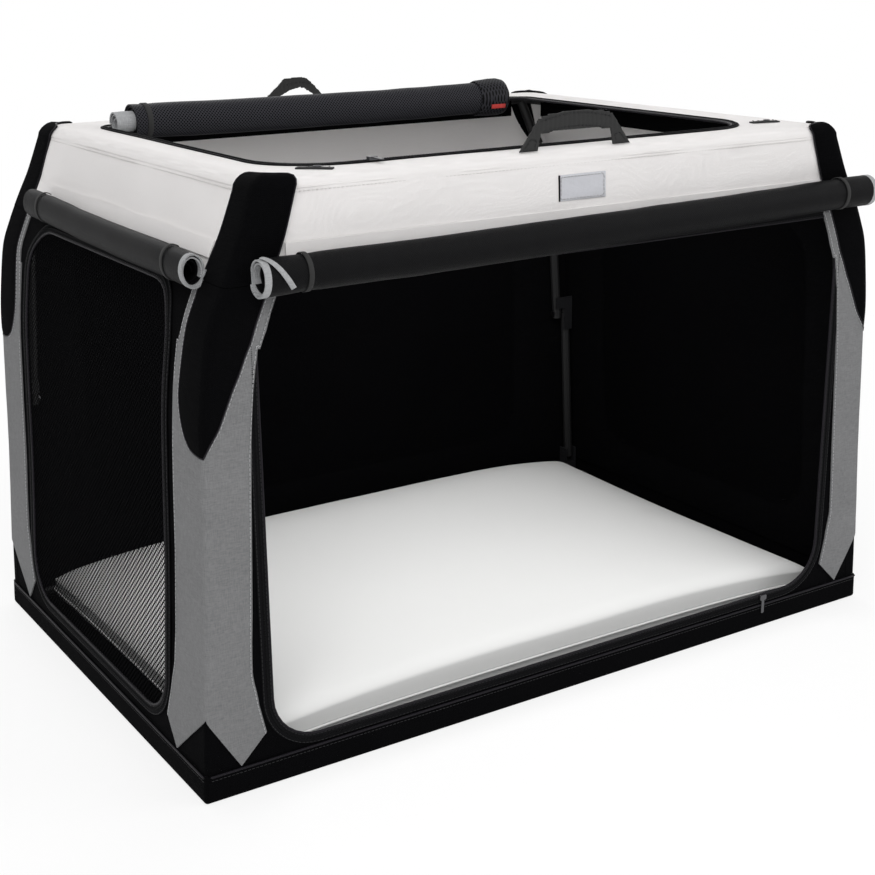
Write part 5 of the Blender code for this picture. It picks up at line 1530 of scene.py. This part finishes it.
class Roll:
    """A rolled cover: its axis and section, how it is wound and where its loops hold it.

    The section lies in a level and an up direction. slope is how far its middle goes
    in both directions for each metre along the roll.
    """

    def __init__(
        self, name, along, ends, centre, radii, sheet, eye, turns, start, direction, holds, tail=()
    ):
        self.name, self.along, self.centre, self.holds = name, along, centre, holds
        self.low, self.high = ends
        self.radius, self.upright = radii[0], radii[1] / radii[0]
        self.sheet, self.eye, self.turns, self.start, self.direction = sheet, eye, turns, start, direction
        self.slope = (0.0, 0.0)
        self.line = [(level, up, 0.0) for level, up in tail]
        self.tail = len(tail)
        for step in range(turns * TURN_STEPS + 1):
            turn = step / TURN_STEPS
            angle = start + direction * 2 * math.pi * turn
            reach = self.reach(turn)
            sink = SUNK * (turn / turns) ** 2
            self.line.append((reach * math.cos(angle), reach * math.sin(angle) - sink, turn))

    def reach(self, turn):
        """How far the sheet's middle is from the roll's middle after some turns, from outside in."""
        outer = self.radius - self.sheet / 2
        return outer - (outer - self.eye) * (turn / self.turns) ** WIND_POWER

    def surface(self, angle):
        """How far the outermost turn reaches at an angle."""
        turn = (self.direction * (angle - self.start) / (2 * math.pi)) % 1.0
        return self.reach(turn) + self.sheet / 2

    def droop(self, place):
        near = min(abs(place - hold) for hold in self.holds)
        return sizes().roll_sag * (1.0 - math.exp(-((near / 0.10) ** 2)))

    def point(self, place, level, up, free=1.0):
        """A point of the section at a place along the roll. free is 0 at the seam and 1 on the roll."""
        grip = max(math.exp(-((place - hold) / PINCH_RUN) ** 2) for hold in self.holds)
        angle = math.atan2(up, level)
        round_way = (WOBBLE * math.cos(angle), WOBBLE * math.sin(angle))
        wobble = ripple((place, *round_way), 0.05, WOBBLE, self.radius)
        scale = 1.0 + (wobble - PINCH_SHARE * grip) * free
        off = place - (self.low + self.high) / 2
        level = self.centre[0] + self.slope[0] * off + level * scale
        up = self.centre[1] + self.slope[1] * off + up * scale * self.upright - self.droop(place) * free
        return self.spot(place, level, up)

    def spot(self, place, level, up):
        """A point or direction from its place along the roll, its level and its height."""
        return Vector((place, level, up)) if self.along == "x" else Vector((level, place, up))

    def arcs(self):
        """How far along the rolled sheet each point of the section lies."""
        arc = [0.0]
        for a, b in zip(self.line, self.line[1:]):
            arc.append(arc[-1] + math.hypot(b[0] - a[0], b[1] - a[1]))
        return arc

    def drawn_in(self, place, turn):
        """The inner turns lie a little further in than the outer ones, like a pulled telescope."""
        middle, half = (self.low + self.high) / 2, (self.high - self.low) / 2
        inward = 0.0016 * turn + 0.006 * max(0.0, turn - 2.0)
        return middle + (place - middle) * (1.0 - inward / half)

    def cloth(self, name, places, thickness, material, last_turn=math.inf):
        """The rolled sheet between some places, with its own flat pattern in metres."""
        bm = bmesh.new()
        flat = bm.loops.layers.uv.new("cloth")
        arc = self.arcs()
        spots = {}
        rows = []
        for place in places:
            row = []
            for i, (level, up, turn) in enumerate(self.line):
                if turn > last_turn:
                    break
                free = min(i / self.tail, 1.0) if self.tail else 1.0
                vert = bm.verts.new(self.point(self.drawn_in(place, turn), level, up, free))
                spots[vert] = (place, arc[i])
                row.append(vert)
            rows.append(row)
        for here, there in zip(rows, rows[1:]):
            for i in range(len(here) - 1):
                bm.faces.new((here[i], here[i + 1], there[i + 1], there[i]))
        for face in bm.faces:
            for loop in face.loops:
                loop[flat].uv = spots[loop.vert]
        return thicken(piece(name, bm, material, self.spot(0.0, *self.centre)), thickness, offset=0.0)

    def round_it(self, places, angles, gap, steps=22):
        """A path round the roll's outside between two angles in degrees, and its outward directions."""
        path, outs = [], []
        for step in range(steps + 1):
            share = step / steps
            angle = math.radians(angles[0] + (angles[1] - angles[0]) * share)
            place = places[0] + (places[1] - places[0]) * share
            way = (math.cos(angle), math.sin(angle))
            reach = max(self.surface(angle), self.radius * 0.97) + gap
            path.append(self.point(place, reach * way[0], reach * way[1]))
            outs.append(self.spot(0.0, *way))
        return path, outs


def make_roll(roll, body, slot, node_name, material, taped=(True, True)):
    cloth = roll.cloth(roll.name + "_cloth", even_steps(roll.low, roll.high, 0.008), roll.sheet, material)
    settle(cloth, body, slot, node_name)
    low, high = roll.low, roll.high
    roll.arcs()[-1]
    spans = ((low - 0.0006, low + TAPE_REACH), (high - TAPE_REACH, high + 0.0006))
    for label, (a, b), wanted in zip(("low", "high"), spans, taped):
        if wanted:
            name, thickness = f"{roll.name}_{label}_tape", roll.sheet + END_TAPE_EXTRA
            tape = roll.cloth(name, even_steps(a, b, 0.004), thickness, "tape_cloth", TAPED_TURNS)
            settle(tape, body, "grey_fabric")


def make_loop(roll, place, angles, body, node_name):
    """A flat elastic loop gripping the roll, with its upper end sewn in at the seam."""
    path, outs = roll.round_it((place, place), angles, 0.0003)
    loop = swept(node_name + "_elastic", path, outs, tape_section(LOOP_WIDTH, LOOP_THICKNESS), "webbing")
    settle(loop, body, "webbing", node_name)


def make_seam_strip(face, low, high, bottom, body):
    """The white cloth between the cover's seam and the roll that hangs from it."""
    depth = WALL_DEPTH - GAP - CLOTH
    bm = lattice(even_steps(low, high, 0.02), even_steps(bottom, SEAM, 0.008))

    def place(along, up):
        return on_wall(face, along, up, depth + ripple((along, up, 7.0), 0.06, 0.0002))

    strip = cloth_piece(f"{face}_seam_strip", carry(bm, place), "white_cloth", CLOTH)
    settle(strip, body, "white_fabric")


def make_door_roll(face):
    """A door's cover, rolled up under the roof cover's hem and held by two loops."""
    node_name, along, inset, height, radii, winding, slope, loops, drop, taped = DOOR_ROLLS[face]
    low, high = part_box(node_name)
    ends, outer = ((low.x, high.x), low.y) if along == "x" else ((low.y, high.y), low.x)
    holds = (ends[0] + LOOP_INSET, ends[1] - LOOP_INSET)
    body, centre = f"{face}_roll", (outer + inset, height)
    roll = Roll(body, along, ends, centre, radii, *winding, DOOR_TURNS, 0.0, -1, holds)
    roll.slope = slope
    make_roll(roll, body, "roll_fabric", node_name, "roll_cloth", taped)
    for label, place in zip(loops[0], holds):
        make_loop(roll, place, loops[1], body, f"{body}_{label}_loop")
    edge = pad_free_edge()
    if along == "x":
        reach = half_length(SEAM) - max(edge[0][0], edge[1][0]) - PAD_CLEARANCE
    else:
        reach = half_width(SEAM) - max(edge[-1][1], edge[-2][1]) - PAD_CLEARANCE
    make_seam_strip(face, -reach, reach, SEAM - drop, body)
    return roll


def make_loose_tape(roll):
    """The end of the front roll's tape, lying loose round it."""
    inset, run, width, thickness, angles = LOOSE_TAPE
    start = roll.low + inset
    path, outs = roll.round_it((start, start + run), angles, 0.0006)
    tape = swept("front_roll_loose_tape", path, outs, tape_section(width, thickness), "tape_cloth")
    settle(tape, "front_roll", "grey_fabric")


def make_roof_roll():
    """The mesh roof door, rolled along the back of its opening and held by two wide straps."""
    low_box, high_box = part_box("roof_door_roll")
    radius, sheet = 0.0245, 0.0018
    back = ROOF_OPENING[3]
    centre = (back - 0.0013 - radius, ROOF + 0.0075)
    level = RIM_TOP + GAP - centre[1] + sheet / 2
    outer = radius - sheet / 2
    start = math.asin(level / outer)
    reach = outer * math.cos(start)
    lap = back + 0.012 - centre[0]
    tail = [(reach + (lap - reach) * share, level) for share in (1.0, 0.8, 0.6, 0.4, 0.2)]
    low, high = low_box.x, high_box.x - WRAP_SHORTER
    left_strap, right_wrap = low + 0.021, high - 0.024
    holds = (left_strap, right_wrap)
    radii = (radius, radius)
    roll = Roll("roof_roll", "x", (low, high), centre, radii, sheet, 0.0170, 3, start, 1, holds, tail)
    make_roll(roll, "roof_roll", "black_mesh", "roof_door_roll", "roof_mesh", (False, False))

    path, outs = roll.round_it((left_strap, left_strap), (20, 300), 0.0003, 30)
    strap = swept("roof_roll_left_strap_webbing", path, outs, tape_section(0.008, 0.0012), "webbing")
    settle(strap, "roof_roll", "webbing", "roof_roll_left_strap")
    make_end_wrap(roll, high)

    front, up = centre[0] - radius - 0.0015, centre[1] - 0.012
    path = [Vector((high - PULL_IN + PULL_LENGTH * share, front, up)) for share in (0.0, 0.3, 0.7, 1.0)]
    pull = swept("roof_roll_pull", path, Vector((0, -1, 0)), tape_section(0.0065, 0.0010), "red_cord")
    settle(pull, "roof_roll", "webbing")

    middle, radii = (centre[0] - 0.003, centre[1] + 0.001), (ROOF_CORE_RADIUS,) * 2
    core = Roll("roof_roll_core", "x", ROOF_CORE, middle, radii, 0.0020, 0.0045, 3, start, 1, ROOF_CORE)
    made = core.cloth("roof_roll_core_tape", even_steps(*ROOF_CORE, 0.005), core.sheet, "tape_cloth")
    settle(made, "roof_roll", "grey_fabric")


WRAP_PROFILE = (
    (-0.050, 0.0), (-0.047, 0.0012), (-0.038, 0.0018), (-0.024, 0.0034), (-0.010, 0.0026),
    (-0.001, 0.0006), (0.003, -0.0040), (0.0045, -0.0110),
)


def make_end_wrap(roll, end):
    """A wide band of net that wraps the roll's right end and bulges past it."""
    sides = 40
    bm = bmesh.new()
    rings = []
    for shift, rise in WRAP_PROFILE:
        ring = []
        for i in range(sides):
            angle = 2 * math.pi * i / sides
            reach = roll.radius + 0.0006 + rise * (1.0 + 0.12 * math.cos(8 * angle))
            place = min(end + shift, end + 0.02)
            ring.append(bm.verts.new(roll.point(place, reach * math.cos(angle), reach * math.sin(angle))))
        rings.append(ring)
    join_rings(bm, rings)
    wrap = piece("roof_roll_right_wrap", bm, "wrap_net", Vector((end - 0.02, *roll.centre)))
    thicken(wrap, 0.0008, offset=1.0)
    settle(wrap, "roof_roll", "webbing", "roof_roll_right_strap")


# Roof trim


def make_roof_rim():
    path = level_path(roof_opening(0.0040), ROOF + GAP)
    rim = swept("roof_rim_tape", path, UP, tape_section(RIM_WIDTH, RIM_THICKNESS), "zip_tape", True)
    settle(rim, "top", "roll_fabric", "roof_zip_rim")
    path = level_path(roof_opening(-0.0006), ROOF - 0.0002)
    settle(swept("roof_rim_piping", path, UP, round_section(0.0021), "piping", True), "top", BLACK)
    path = level_path(roof_opening(0.0045), RIM_TOP + 0.0001, 0.004)
    settle(zip_turns("roof_zip_coil", path), "top", "roll_fabric")
    rows = [(level_path(roof_opening(grow), RIM_TOP, 0.004), True) for grow in (0.0012, 0.0080)]
    settle(stitching("roof_rim_stitches", rows, "dark_thread"), "top", "roll_fabric")


def plate(name, outline, cell, thickness, to_place, material, centre, edge=0.0004):
    """A cloth of some outline, carried to its place."""
    made = piece(name, carry(cut_lattice(outline, cell), to_place), material, centre)
    return thicken(made, thickness, edge=edge)


def make_label():
    """A blank patch of pale cloth with a folded dark edge on its left and a stitched border."""
    low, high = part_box("label_patch")
    half = (high.x - low.x) / 2
    depth = WALL_DEPTH - 0.0017
    outline = rounded_rectangle(-half, low.z, half, high.z, [0.0015] * 4, 3)
    soft = sizes().crease * 0.4

    def place(x, z):
        return on_wall("front", x, z, depth - ripple((x, z, 1.0), 0.03, soft))

    patch = plate("label_patch_cloth", outline, 0.005, 0.0014, place, "label_cloth", (0.0, 0.0, 0.66))
    settle(patch, "top", "label", "label_patch")
    border = rounded_rectangle(-half + 0.003, low.z + 0.0025, half - 0.003, high.z - 0.0025, [0.001] * 4, 3)
    path = [on_wall("front", point.x, point.y, depth - 0.0004) for point in level_path(border, 0.0, 0.003)]
    settle(stitching("label_stitches", [(path, True)], "pale_thread"), "top", "label")
    fold = rounded_rectangle(-half - 0.0004, low.z, -half + 0.0016, high.z, [0.0005] * 4, 2)
    strip = plate(
        "label_fold", fold, 0.004, 0.0022, lambda x, z: on_wall("front", x, z, depth - 0.0005), "zip_tape",
        (0.0, 0.0, 0.66), 0.0
    )
    settle(strip, "top", "label")


TABS = (("left", (-0.344, -0.312), -0.72), ("right", (0.374, -0.268), -0.20))


def make_tabs():
    """Short webbing tabs beside the opening that hold the zip's ends, each with a small metal ring."""
    for label, spot, angle in TABS:
        spot, turn = Vector(spot), Matrix.Rotation(angle, 2)
        outline = rounded_rectangle(-0.021, -0.0055, 0.021, 0.0055, [0.0025] * 4, 4)

        def place(x, y):
            rise = 0.0006 * math.cos(x * math.pi / 0.021)
            flat = turn @ Vector((x, y)) + spot
            return Vector((flat.x, flat.y, ROOF + GAP + 0.0019 + rise * 0.5))

        tab = plate(f"{label}_tab_webbing", outline, 0.003, 0.0018, place, "webbing", (*spot, 0.5))
        settle(tab, "top", "webbing", f"{label}_zip_tab")
        rows = []
        for share in (-0.75, -0.35, 0.75):
            ends = [turn @ Vector((0.021 * share, y)) + spot for y in (-0.004, 0.004)]
            rows.append(([Vector((p.x, p.y, ROOF + 0.0027)) for p in ends], False))
        settle(stitching(f"{label}_tab_stitches", rows, "dark_thread"), "top", "webbing")
        ring = []
        middle = turn @ Vector((0.003, 0.0)) + spot
        for step in range(20):
            a = 2 * math.pi * step / 20
            flat = turn @ Vector((0.0042 * math.cos(a), 0.0034 * math.sin(a))) + middle
            ring.append(Vector((flat.x, flat.y, ROOF + 0.0034)))
        section = round_section(0.0007, 6)
        made = swept(f"{label}_tab_ring", ring, UP, section, "zip_metal", True)
        settle(made, "top", "zinc")


# Carry handles

# Feet outside and inside, legs outside and inside, the band's shoulder and bow above and below
FRONT_HANDLE_ARCH = (0.083, 0.057, 0.0565, 0.0530, 0.0350, 0.0085, 0.0185, 0.0035)
REAR_HANDLE_OUTLINE = (
    (-0.059, 0.0), (-0.0445, 0.0), (-0.045, 0.0116), (-0.032, 0.0183), (-0.0144, 0.0264), (0.0031, 0.030),
    (0.0117, 0.0273), (0.0236, 0.0198), (0.0357, 0.0123), (0.0445, 0.0), (0.059, 0.0), (0.0463, 0.0117),
    (0.0293, 0.0294), (0.0158, 0.0422), (0.0055, 0.0449), (-0.0136, 0.0444), (-0.024, 0.0434),
    (-0.0383, 0.0307), (-0.0524, 0.0195), (-0.0545, 0.0121),
)
HANDLE_BOWS = {
    "front_handle": ((0.047, 0.022, 0.004), (0.050, 0.0345, 0.007)),
    "rear_handle": ((0.024, 0.0335, 0.004),),
}
FOOT_BOXES = {
    "front_handle": ((0.062, 0.002), (0.077, 0.002), (0.068, 0.013), (0.059, 0.013)),
    "rear_handle": ((0.0475, 0.0015), (0.056, 0.0015), (0.053, 0.009), (0.0475, 0.009)),
}


def front_handle_outline():
    """A flat arch of webbing: two feet, two leaning legs and a bowed band between them."""
    foot_out, foot_in, outer, inner, shoulder, bow, under, under_bow = FRONT_HANDLE_ARCH
    steps = [math.pi * step / 12 for step in range(13)]
    points = [(-foot_out, 0.0), (-foot_in, 0.0)]
    points += [(-inner * math.cos(angle), under + under_bow * math.sin(angle)) for angle in steps]
    points += [(foot_in, 0.0), (foot_out, 0.0)]
    points += [(outer * math.cos(angle), shoulder + bow * math.sin(angle)) for angle in steps]
    return points


def make_handle(name, side):
    low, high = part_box(name)
    middle = Vector(((low.x + high.x) / 2, (low.y + high.y) / 2, low.z))
    thickness = high.y - low.y
    outline = front_handle_outline() if name == "front_handle" else REAR_HANDLE_OUTLINE

    def place(x, z):
        gather = 0.0005 * math.sin(x / 0.0011) * min(max((z - 0.016) / 0.006, 0.0), 1.0)
        return middle + Vector((x, side * thickness / 2 + ripple((x, z, side), 0.04, 0.0004) + gather, z))

    centre = (middle.x, 0.0, middle.z)
    band = plate(f"{name}_webbing", outline, 0.0022, thickness, place, "webbing", centre, 0.0006)
    settle(band, name, "webbing", name)
    rows = []
    for face in (-1, 1):
        y = middle.y + face * (thickness / 2 + 0.0002)
        for reach, up, bow in HANDLE_BOWS[name]:
            row = [(reach * (t / 6 - 1), up + bow * math.sin(math.pi * t / 12)) for t in range(13)]
            rows.append(([Vector((middle.x + x, y, middle.z + z)) for x, z in row], False))
        for sign in (-1, 1):
            box = [Vector((middle.x + sign * x, y, middle.z + z)) for x, z in FOOT_BOXES[name]]
            rows.append((box, True))
    settle(stitching(f"{name}_stitches", rows, "dark_thread"), name, "webbing")


# The floor mat

MAT_ROUNDS = 20
MAT_EDGE_SHARE = 0.602
MAT_SHOULDER_SHARE = 0.3
MAT_SEAM_SHARE = 0.46
MAT_DRAW = 0.006
MAT_LEVELS_SHARE = 0.2
MAT_ROUND_SHARE = 0.11
MAT_INSET = 0.004


def mat_height(along, across):
    """The share of the mat's full height at a place, for both from -1 to 1."""
    crown = (1.0 - along ** 4) * (1.0 - MAT_SHOULDER_SHARE * across ** 6)
    return MAT_EDGE_SHARE + (1.0 - MAT_EDGE_SHARE) * crown


def make_mat():
    """A filled pad: cloth over soft filling, swelled by simulation and pressed flat below."""
    low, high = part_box("fleece_mat")
    middle = (low + high) / 2
    half = (high - low) / 2
    height = high.z - low.z
    swell = sizes().mat_swell
    bm = bmesh.new()
    bmesh.ops.create_cube(bm, size=2.0)
    reach = Vector((half.x - swell, half.y - swell, 1.0))
    cell = sizes().cell * 0.9
    for axis, step in enumerate((cell, cell, MAT_LEVELS_SHARE)):
        for place in even_steps(-reach[axis], reach[axis], step)[1:-1]:
            cut_across(bm, axis, place / reach[axis])

    def drawn(along, across):
        """How far a side is pulled in between its corners, in x and in y."""
        return Vector((MAT_DRAW * (1 - across ** 2), MAT_DRAW * (1 - along ** 2)))

    for vert in bm.verts:
        along, across, level = vert.co
        pull = drawn(along, across)
        round_off = MAT_ROUND_SHARE * max(abs(along), abs(across)) ** 40 * height * abs(level)
        top = low.z + height * mat_height(along, across) - swell - round_off
        bottom = low.z + swell / 2 + round_off
        up = bottom + (top - bottom) * (level + 1.0) / 2
        vert.co = Vector((middle.x + along * (reach.x - pull.x), middle.y + across * (reach.y - pull.y), up))
    mat = piece("mat_cloth", bm, "fleece", middle)
    mat = swelled(mat, swell)
    for vert in mat.data.vertices:
        vert.co.z = max(vert.co.z, low.z)
        vert.co.z += 0.0 if vert.co.z < middle.z else ripple(vert.co, 0.16, 0.0012)
    fine = mat.modifiers.new("fine", "SUBSURF")
    fine.levels = 1
    fine.render_levels = 1
    apply_modifiers(mat)
    mat.data.shade_smooth()
    settle(mat, "base", "fleece", "fleece_mat")

    seam = rounded_rectangle(
        low.x + MAT_INSET, low.y + MAT_INSET, high.x - MAT_INSET, high.y - MAT_INSET, [0.012] * 4
    )
    path = []
    for point in level_path(seam, low.z, 0.012):
        along, across = (point.x - middle.x) / half.x, (point.y - middle.y) / half.y
        pull = drawn(along, across)
        up = low.z + height * mat_height(along, across) * MAT_SEAM_SHARE
        path.append(Vector((point.x * (1 - pull.x / half.x), point.y * (1 - pull.y / half.y), up)))
    cord = swept("mat_piping", path, UP, round_section(0.0017), "fleece", True)
    settle(cord, "base", "fleece")


def swelled(made, limit):
    """The piece after its cloth was blown up a little from inside, no point moved past the limit."""
    rest = [vert.co.copy() for vert in made.data.vertices]
    cloth = made.modifiers.new("cloth", "CLOTH")
    cloth.settings.use_pressure = True
    cloth.settings.uniform_pressure_force = 3.0
    cloth.settings.quality = 4
    cloth.settings.effector_weights.gravity = 0.0
    cloth.point_cache.frame_start = 1
    cloth.point_cache.frame_end = MAT_ROUNDS
    for step in range(1, MAT_ROUNDS + 1):
        bpy.context.scene.frame_set(step)
    apply_modifiers(made)
    bpy.context.scene.frame_set(1)
    for vert, before in zip(made.data.vertices, rest):
        move = vert.co - before
        if move.length > limit:
            vert.co = before + move.normalized() * limit
    return made


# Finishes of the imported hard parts

HARD_FINISHES = (
    ("_post", "tube_paint"), ("_frame", "tube_paint"), ("_pin", "zip_metal"), ("_slider", "zip_metal"),
    ("_stop", "hinge_plastic"), ("_bracket", "hinge_plastic"),
)


def finish_hard_parts():
    for name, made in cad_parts.items():
        for ending, material in HARD_FINISHES:
            if name.endswith(ending):
                if not made.material_slots:
                    made.data.materials.append(None)
                for place in made.material_slots:
                    place.material = finish(material)


# Stage: floor, backdrop, lamps and camera

CAMERA_PLACE = (-1.126, -1.778, 0.929)
# Yaw, pitch and roll
CAMERA_TURN = (0.569, 0.309, -0.011)
CAMERA_LENS = 61.87
CAMERA_SENSOR = 36.0
FLOOR_REACH = 12.0
FLOOR_WHITE = 0.76
# The floor turns from its own white to plain white between these distances from the crate's middle
FLOOR_FADE = (0.9, 2.2)
WORLD_LIGHT = 0.75
WHITE = (1.0, 1.0, 1.0, 1.0)
# Name, place, what it points at, size, power, and whether the camera sees it
LAMPS = (
    ("key_lamp", (-1.6, -2.6, 3.2), (0.0, 0.0, 0.4), 2.4, 62.0, True),
    ("fill_lamp", (2.8, -2.4, 2.0), (0.0, 0.0, 0.4), 2.4, 26.0, True),
    ("back_lamp", (0.4, 2.8, 2.6), (0.0, 0.0, 0.5), 2.0, 26.0, True),
    ("left_mat_lamp", (-0.22, -0.02, 0.60), (-0.22, -0.02, 0.0), 0.4, 1.05, False),
    ("right_mat_lamp", (0.22, -0.02, 0.60), (0.22, -0.02, 0.0), 0.4, 1.05, False),
)


def shown_as_white(tree, own, white_kind, strength, out):
    """Plain white light for camera, mirror and glass rays, and the shader's own light for the rest."""
    path = node(tree, "ShaderNodeLightPath").outputs
    seen = maths(tree, "ADD", path["Is Camera Ray"], path["Is Glossy Ray"])
    seen = maths(tree, "ADD", seen, path["Is Transmission Ray"])
    seen = maths(tree, "MINIMUM", seen, 1.0)
    white = result(tree, white_kind, {"Color": WHITE, "Strength": 1.0})
    parts = {0: times(tree, seen, strength), 1: own, 2: white}
    tree.links.new(result(tree, "ShaderNodeMixShader", parts), tree.nodes[out].inputs["Surface"])


def make_floor():
    floor_paper, tree, shader = start_material("floor_paper", 0.9, 0.1)
    grain = noise_of(tree, object_place(tree), 60.0)
    tint = mix_colours(tree, grain, opaque((0.90, 0.90, 0.90)), opaque((0.93, 0.93, 0.93)))
    tree.links.new(tint, shader.inputs["Base Color"])
    far = node(tree, "ShaderNodeVectorMath", {0: object_place(tree)}, operation="LENGTH").outputs["Value"]
    fade = spread(tree, far, *FLOOR_FADE, FLOOR_WHITE, 1.0)
    shown_as_white(tree, shader.outputs[0], "ShaderNodeEmission", fade, "Material Output")
    bm = bmesh.new()
    bmesh.ops.create_grid(bm, x_segments=8, y_segments=8, size=FLOOR_REACH)
    mesh = bpy.data.meshes.new("studio_floor")
    bm.to_mesh(mesh)
    bm.free()
    mesh.materials.append(floor_paper)
    add_object("studio_floor", mesh)


def make_world():
    world = bpy.data.worlds.new("studio")
    world.use_nodes = True
    tree = world.node_tree
    shader = tree.nodes["Background"]
    put(tree, WHITE, shader.inputs["Color"])
    put(tree, WORLD_LIGHT, shader.inputs["Strength"])
    shown_as_white(tree, shader.outputs[0], "ShaderNodeBackground", 1.0, "World Output")
    bpy.context.scene.world = world


def make_lamp(name, place, aim, size, power, seen):
    lamp = bpy.data.lights.new(name, "AREA")
    lamp.shape = "SQUARE"
    lamp.size = size
    lamp.energy = power
    made = add_object(name, lamp)
    made.location = place
    made.rotation_euler = (Vector(aim) - Vector(place)).to_track_quat("-Z", "Y").to_euler()
    made.visible_camera = seen


def make_camera():
    yaw, pitch, roll = CAMERA_TURN
    ahead = Vector((math.sin(yaw) * math.cos(pitch), math.cos(yaw) * math.cos(pitch), -math.sin(pitch)))
    right = ahead.cross(UP).normalized()
    up = right.cross(ahead)
    c, s = math.cos(roll), math.sin(roll)
    right, up = c * right + s * up, c * up - s * right
    turn = Matrix((right, up, -ahead)).transposed()
    lens = bpy.data.cameras.new("studio_camera")
    lens.lens = CAMERA_LENS
    lens.sensor_width = CAMERA_SENSOR
    lens.clip_start = 0.05
    lens.clip_end = 60.0
    made = add_object("studio_camera", lens)
    made.location = CAMERA_PLACE
    made.rotation_euler = turn.to_euler()
    bpy.context.scene.camera = made


def make_stage():
    make_floor()
    make_world()
    for lamp in LAMPS:
        make_lamp(*lamp)
    make_camera()
    bpy.context.scene.view_settings.view_transform = "Standard"


# Operators, one for each piece or group of like pieces


class CRATE_OT_base_tray(bpy.types.Operator):
    """Makes the black tray with its soft band, piping and stitches"""

    bl_idname = "crate.base_tray"
    bl_label = "Base tray"

    def execute(self, context):
        make_base_tray()
        return {"FINISHED"}


class CRATE_OT_mat(bpy.types.Operator):
    """Makes the filled floor mat and swells its cloth"""

    bl_idname = "crate.mat"
    bl_label = "Floor mat"

    def execute(self, context):
        make_mat()
        return {"FINISHED"}


class CRATE_OT_walls(bpy.types.Operator):
    """Makes the four black walls and the binding round their holes"""

    bl_idname = "crate.walls"
    bl_label = "Walls"

    def execute(self, context):
        for face in WALL_SPECS:
            make_wall(face)
        make_binding("front", "base", WALL_DEPTH)
        make_binding("left", "left_door", LEFT_TAPE_DEPTH)
        for face in ("back", "right"):
            make_window_cover(face)
            make_binding(face, "base", WALL_DEPTH)
        return {"FINISHED"}


class CRATE_OT_nets(bpy.types.Operator):
    """Makes the left door's net and the nets of the two windows"""

    bl_idname = "crate.nets"
    bl_label = "Nets"

    def execute(self, context):
        inside = WALL_DEPTH + CLOTH + 0.0012
        make_net("left", "left_mesh_door", "left_door", 0.0015)
        make_net("back", "back_window_net", "base", inside)
        make_net("right", "right_window_net", "base", inside)
        return {"FINISHED"}


class CRATE_OT_corners(bpy.types.Operator):
    """Makes the grey corner sleeves and the black puffed pads over the top corners"""

    bl_idname = "crate.corners"
    bl_label = "Corner sleeves and pads"

    def execute(self, context):
        make_corners()
        return {"FINISHED"}


class CRATE_OT_roof_cover(bpy.types.Operator):
    """Makes the white roof cover, its trimming, the tube's channel (partly painted shade under the roof's
    edge) and the corner linings
    """

    bl_idname = "crate.roof_cover"
    bl_label = "Roof cover"

    def execute(self, context):
        make_roof_cover()
        make_channel_and_painted_shade()
        make_corner_linings()
        return {"FINISHED"}


class CRATE_OT_roof_trim(bpy.types.Operator):
    """Makes the opening's zip binding, the two tabs and the blank patch"""

    bl_idname = "crate.roof_trim"
    bl_label = "Roof trim"

    def execute(self, context):
        make_roof_rim()
        make_tabs()
        make_label()
        return {"FINISHED"}


class CRATE_OT_rolls(bpy.types.Operator):
    """Makes the three rolled covers with their loops, straps and taped ends"""

    bl_idname = "crate.rolls"
    bl_label = "Rolled covers"

    def execute(self, context):
        make_loose_tape(make_door_roll("front"))
        make_door_roll("left")
        make_roof_roll()
        return {"FINISHED"}


class CRATE_OT_handles(bpy.types.Operator):
    """Makes the two carry handles of webbing"""

    bl_idname = "crate.handles"
    bl_label = "Carry handles"

    def execute(self, context):
        make_handle("front_handle", -1)
        make_handle("rear_handle", 1)
        return {"FINISHED"}


class CRATE_OT_hard_parts(bpy.types.Operator):
    """Gives the tubes, pins, brackets and zip sliders their finishes"""

    bl_idname = "crate.hard_parts"
    bl_label = "Hard parts"

    def execute(self, context):
        finish_hard_parts()
        return {"FINISHED"}


class CRATE_OT_stage(bpy.types.Operator):
    """Makes the floor, the lamps, the backdrop and the camera"""

    bl_idname = "crate.stage"
    bl_label = "Stage"

    def execute(self, context):
        make_stage()
        return {"FINISHED"}


OPERATORS = (
    CRATE_OT_stage, CRATE_OT_base_tray, CRATE_OT_mat, CRATE_OT_walls, CRATE_OT_nets, CRATE_OT_corners,
    CRATE_OT_roof_cover, CRATE_OT_roof_trim, CRATE_OT_rolls, CRATE_OT_handles, CRATE_OT_hard_parts,
)


class CRATE_PT_panel(bpy.types.Panel):
    """Lists the crate's pieces and its settings"""

    bl_idname = "CRATE_PT_panel"
    bl_label = "Soft folding crate"
    bl_space_type = "VIEW_3D"
    bl_region_type = "UI"
    bl_category = "Crate"

    def draw(self, context):
        for operator in OPERATORS:
            self.layout.operator(operator.bl_idname)
        for settings in (context.scene.crate_sizes, context.scene.crate_colours):
            box = self.layout.box()
            for key in settings.__annotations__:
                box.prop(settings, key)


CLASSES = (CrateSizes, CrateColours, *OPERATORS, CRATE_PT_panel)


def register():
    for made in CLASSES:
        bpy.utils.register_class(made)
    bpy.types.Scene.crate_sizes = bpy.props.PointerProperty(type=CrateSizes)
    bpy.types.Scene.crate_colours = bpy.props.PointerProperty(type=CrateColours)


def unregister():
    del bpy.types.Scene.crate_sizes
    del bpy.types.Scene.crate_colours
    for made in reversed(CLASSES):
        bpy.utils.unregister_class(made)


def main():
    register()
    bpy.ops.crate.stage()
    bpy.ops.crate.base_tray()
    bpy.ops.crate.mat()
    bpy.ops.crate.walls()
    bpy.ops.crate.nets()
    bpy.ops.crate.corners()
    bpy.ops.crate.roof_cover()
    bpy.ops.crate.roof_trim()
    bpy.ops.crate.rolls()
    bpy.ops.crate.handles()
    bpy.ops.crate.hard_parts()


if __name__ == "__main__":
    main()
